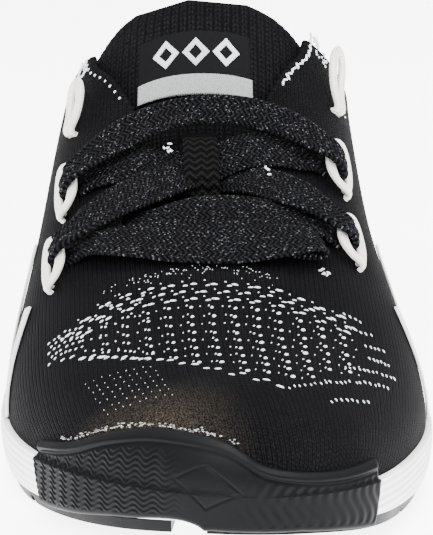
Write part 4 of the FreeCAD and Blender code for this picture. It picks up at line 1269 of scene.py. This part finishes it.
# ---- Lace ---------------------------------------------------------------------------------------
LACE_PATH = [  # (c, s, h, lean, roll, width, thick): lean and roll turn the width of the lace
    (14.2, 91.4, 1.2, -16, 0, 4.4, 1.3),
    (17.0, 92.1, 1.2, -18, 0, 6.6, 1.3),
    (20.0, 93.0, 1.2, -20, 0, 7.8, 1.3),
    (22.8, 93.8, 1.5, -20, 0, 8.0, 1.3),
    (24.8, 94.4, 2.9, -20, 0, 8.0, 1.3),
    (22.8, 93.4, 4.5, -21, 0, 8.4, 1.3),
    (19.5, 92.1, 4.7, -20, 2, 9.4, 1.3),
    (14.5, 90.8, 4.4, -14, 10, 10.4, 1.3),
    (8.0, 89.8, 3.6, -6, 18, 10.8, 1.3),
    (0.0, 89.6, 3.2, 2, 20, 10.8, 1.3),
    (-8.0, 90.5, 3.2, 8, 18, 10.8, 1.3),
    (-15.0, 92.1, 3.2, 14, 8, 10.6, 1.3),
    (-21.5, 94.3, 3.2, 17, 0, 9.8, 1.3),
    (-27.0, 96.6, 3.0, 15, 0, 8.4, 1.5),
    (-31.4, 98.6, 1.6, 8, 0, 6.8, 1.7),
    (-35.0, 99.4, 1.2, 2, 0, 6.8, 1.7),
    (-37.4, 99.6, 3.4, 0, 0, 6.8, 1.7),
    (-35.0, 99.9, 5.6, -6, 0, 6.8, 1.7),
    (-31.0, 101.2, 5.5, -24, 0, 8.0, 1.6),
    (-24.0, 105.4, 4.8, -33, 0, 10.2, 1.3),
    (-16.0, 110.8, 2.9, -35, 0, 11.0, 1.3),
    (-8.0, 116.4, 0.5, -34, 0, 10.4, 1.3),
    (0.0, 121.0, -1.5, -25, 0, 9.6, 1.3),
    (7.0, 123.6, 0.3, -16, 0, 9.8, 1.3),
    (14.0, 125.6, 1.1, -14, 0, 10.0, 1.3),
    (21.0, 127.1, 1.1, -10, 0, 9.6, 1.3),
    (26.5, 128.1, 1.3, -6, 0, 8.2, 1.6),
    (30.5, 128.5, 1.2, -2, 0, 6.8, 1.7),
    (33.1, 128.6, 3.4, 0, 0, 6.8, 1.7),
    (30.5, 128.8, 5.6, 6, 0, 6.8, 1.7),
    (26.0, 129.8, 5.5, 14, 2, 8.2, 1.5),
    (18.0, 131.7, 4.6, 12, 14, 8.2, 1.3),
    (9.0, 133.0, 3.8, 6, 24, 7.6, 1.3),
    (0.0, 133.2, 3.5, -4, 28, 7.2, 1.3),
    (-9.0, 131.8, 3.8, -13, 24, 7.6, 1.3),
    (-18.0, 129.0, 4.6, -20, 14, 8.4, 1.3),
    (-27.0, 125.4, 5.5, -22, 2, 8.2, 1.5),
    (-32.0, 123.8, 5.6, -8, 0, 6.8, 1.7),
    (-34.6, 123.5, 3.4, 0, 0, 6.8, 1.7),
    (-32.0, 123.4, 1.2, 0, 0, 6.8, 1.7),
    (-27.5, 123.1, 1.3, 4, 0, 8.0, 1.6),
    (-21.5, 122.9, 1.1, 0, 0, 9.4, 1.3),
    (-16.5, 122.9, 0.9, 0, 0, 9.8, 1.3),
    (-11.0, 122.9, -1.8, 4, 0, 9.6, 1.3),
    (-5.0, 122.4, -3.0, 14, 0, 9.4, 1.3),
    (0.0, 121.0, -3.05, 25, 0, 9.2, 1.3),
    (5.0, 118.8, -2.4, 30, 0, 9.4, 1.3),
    (10.5, 115.6, 0.8, 33, 0, 9.8, 1.3),
    (15.5, 112.2, 3.0, 34, 0, 10.6, 1.3),
    (21.0, 108.6, 4.8, 33, 0, 9.8, 1.3),
    (26.5, 104.9, 5.5, 24, 0, 8.0, 1.6),
    (30.8, 103.2, 5.6, 6, 0, 6.8, 1.7),
    (33.4, 103.0, 3.4, 0, 0, 6.8, 1.7),
    (30.8, 102.9, 1.2, 0, 0, 6.8, 1.7),
    (28.0, 102.8, 1.8, 2, 0, 7.8, 1.6),
    (24.0, 102.5, 2.8, 4, 0, 8.4, 1.4),
    (18.0, 101.8, 2.8, 6, 0, 9.4, 1.3),
    (12.0, 101.2, 2.8, 4, 6, 10.0, 1.3),
    (6.0, 100.8, 2.8, 2, 14, 10.0, 1.3),
    (0.0, 100.6, 2.7, 0, 16, 10.0, 1.3),
    (-6.0, 100.7, 2.4, -2, 12, 9.4, 1.3),
    (-12.0, 101.2, 1.7, -6, 4, 8.2, 1.3),
    (-17.0, 102.0, 1.1, -12, 0, 6.4, 1.3),
    (-20.5, 103.0, 1.1, -18, 0, 4.4, 1.3),
]


def make_lace():
    c, s, h, lean, roll, width, thick = dense_lace().T
    width = width * (1.0 + 0.16 * np.clip((width - 8.0) / 1.5, 0.0, 1.0))
    lean, roll = np.radians(lean), np.radians(roll)
    centre = chart(c, s, h)
    dc, ds = 0.5 * np.sin(lean), 0.5 * np.cos(lean)
    level = chart(c + dc, s + ds, h) - chart(c - dc, s - ds, h)
    up = chart(c, s, h + 1.0) - centre
    across = unit(level * np.cos(roll)[:, None] + up * np.sin(roll)[:, None])
    lift = unit(np.cross(across, np.gradient(centre, axis=0)))
    return strip("lace_braid", centre, across, lift, width, thick, count=96, relief=braid)


def braid(run, offset):
    """Height of the lace's herringbone threads and of the soft folds along it."""
    fold = np.abs(np.mod(offset / 1.3 + 0.5, 2.0) - 1.0) * 1.3
    ripple = 0.05 * np.cos(TURN * (run + fold) / 1.1)
    return ripple + 0.18 * np.cos(TURN * offset / 3.1 + 0.4 * np.sin(run / 7.0))


def dense_lace():
    """Lace nodes resampled at equal real steps."""
    fine = np.linspace(0.0, 1.0, 6000)
    dense = np.stack([profile(*column)(fine) for column in zip(*LACE_PATH)], axis=1)
    run = path_length(chart(*dense[:, :3].T))
    places = np.arange(0.0, run[-1], 0.3)
    return np.stack([np.interp(places, run, column) for column in dense.T], axis=1)


lace = paint(make_lace(), LACE_BLACK)
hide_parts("lace")
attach(lace, "shoe")
for node in ("aglet_inner", "aglet_outer"):
    dress(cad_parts[node], AGLET_PLASTIC)


# ---- Side straps --------------------------------------------------------------------------------
STRAPS = {  # s at the foot and at the top, and the climb up the side
    "side_strap_front": (72.0, 96.0, 20.0),
    "side_strap_rear": (98.0, 128.0, 26.0),
}
STRAP_WIDTH, STRAP_THICK = 4.0, 0.7


def strap_point(strap, side, share, across, h):
    s0, s1, climb = STRAPS[strap]
    s = s0 + (s1 - s0) * share**1.15 + across * STRAP_WIDTH * 0.8
    edge = arc_edges(s)[side > 0]
    return chart(edge - side * (0.6 + climb * share - across * STRAP_WIDTH * 0.5), s, h)


def make_strap(strap, side):
    share = np.linspace(0.0, 1.0, 90)[:, None]
    k, h = oval(32, 5.0, 2.4)
    points = strap_point(strap, side, share, k * 0.5, 0.1 + STRAP_THICK * (0.5 + 0.5 * h))
    uv = cloth_map(k * STRAP_WIDTH / 2.0, path_length(points[:, 0])[:, None])
    name = "inner" if side > 0 else "outer"
    obj = paint(rings_mesh(f"{strap}_{name}_tape", points, uv), TAPE_WHITE)
    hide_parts(f"{strap}_{name}")
    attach(obj, "shoe")


for strap_name in STRAPS:
    for strap_side in (-1, 1):
        make_strap(strap_name, strap_side)


# ---- Studio -------------------------------------------------------------------------------------
WHITE = (1.0, 1.0, 1.0, 1.0)
FLOOR_SIZE = 12.0
FLOOR_GLOW, WORLD_LIGHT = 5.5, 1.1
LIGHTS = {  # place and size in metres, and watts
    "key": ((-0.45, -0.9, 1.0), 0.5, 26.0),
    "top": ((0.15, 0.1, 1.2), 0.7, 26.0),
    "side": ((0.9, -0.35, 0.5), 0.5, 8.0),
}
LIT = Vector((0.0, 0.0, 0.04))
CAMERA_DOWN = math.radians(13.0)
CAMERA_LENS, SENSOR = 291.4, 36.0
CAMERA_FAR = 1.0  # from the toe to the camera
TOE_POINT = Vector((0.0, -0.061, 0.010))
AIM_ACROSS, AIM_UP = 0.0006, 0.0387


def aimed(name, data, place, aim):
    """Puts a light or a camera at a place, looking along aim."""
    obj = bpy.data.objects.new(name, data)
    obj.location = place
    obj.rotation_mode = "QUATERNION"
    obj.rotation_quaternion = aim.to_track_quat("-Z", "Y")
    bpy.context.scene.collection.objects.link(obj)
    return obj


def make_studio():
    r = FLOOR_SIZE / 2.0 / MM
    corners = (-r, -r, 0), (r, -r, 0), (r, r, 0), (-r, r, 0)
    ground = add_mesh("floor", corners, [(0, 1, 2, 3)], smooth=False)
    paper = Nodes("paper", (0.9, 0.9, 0.9), 0.9)
    paper.shader.inputs["Emission Color"].default_value = WHITE
    paper.shader.inputs["Emission Strength"].default_value = FLOOR_GLOW
    paper.bump(paper.noise(300.0), 0.05, 0.05)
    dress(ground, paper)
    ground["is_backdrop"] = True
    world = bpy.data.worlds.new("studio")
    world.use_nodes = True
    background = world.node_tree.nodes["Background"]
    background.inputs["Color"].default_value = WHITE
    background.inputs["Strength"].default_value = WORLD_LIGHT
    bpy.context.scene.world = world
    for name, (place, size, power) in LIGHTS.items():
        light = bpy.data.lights.new(name, "AREA")
        light.size = size
        light.energy = power
        aimed(name, light, place, LIT - Vector(place))


def make_camera():
    look = Vector((0, math.cos(CAMERA_DOWN), -math.sin(CAMERA_DOWN)))
    up = Vector((0, math.sin(CAMERA_DOWN), math.cos(CAMERA_DOWN)))
    data = bpy.data.cameras.new("camera")
    data.lens = CAMERA_LENS
    data.sensor_width = SENSOR
    data.clip_start, data.clip_end = 0.01, 20.0
    aim = look + up * AIM_UP + Vector((1, 0, 0)) * AIM_ACROSS
    bpy.context.scene.camera = aimed("camera", data, TOE_POINT - look * CAMERA_FAR, aim)


make_studio()
make_camera()

[[list(corner) for corner in box] for box in (cad_box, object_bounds())]
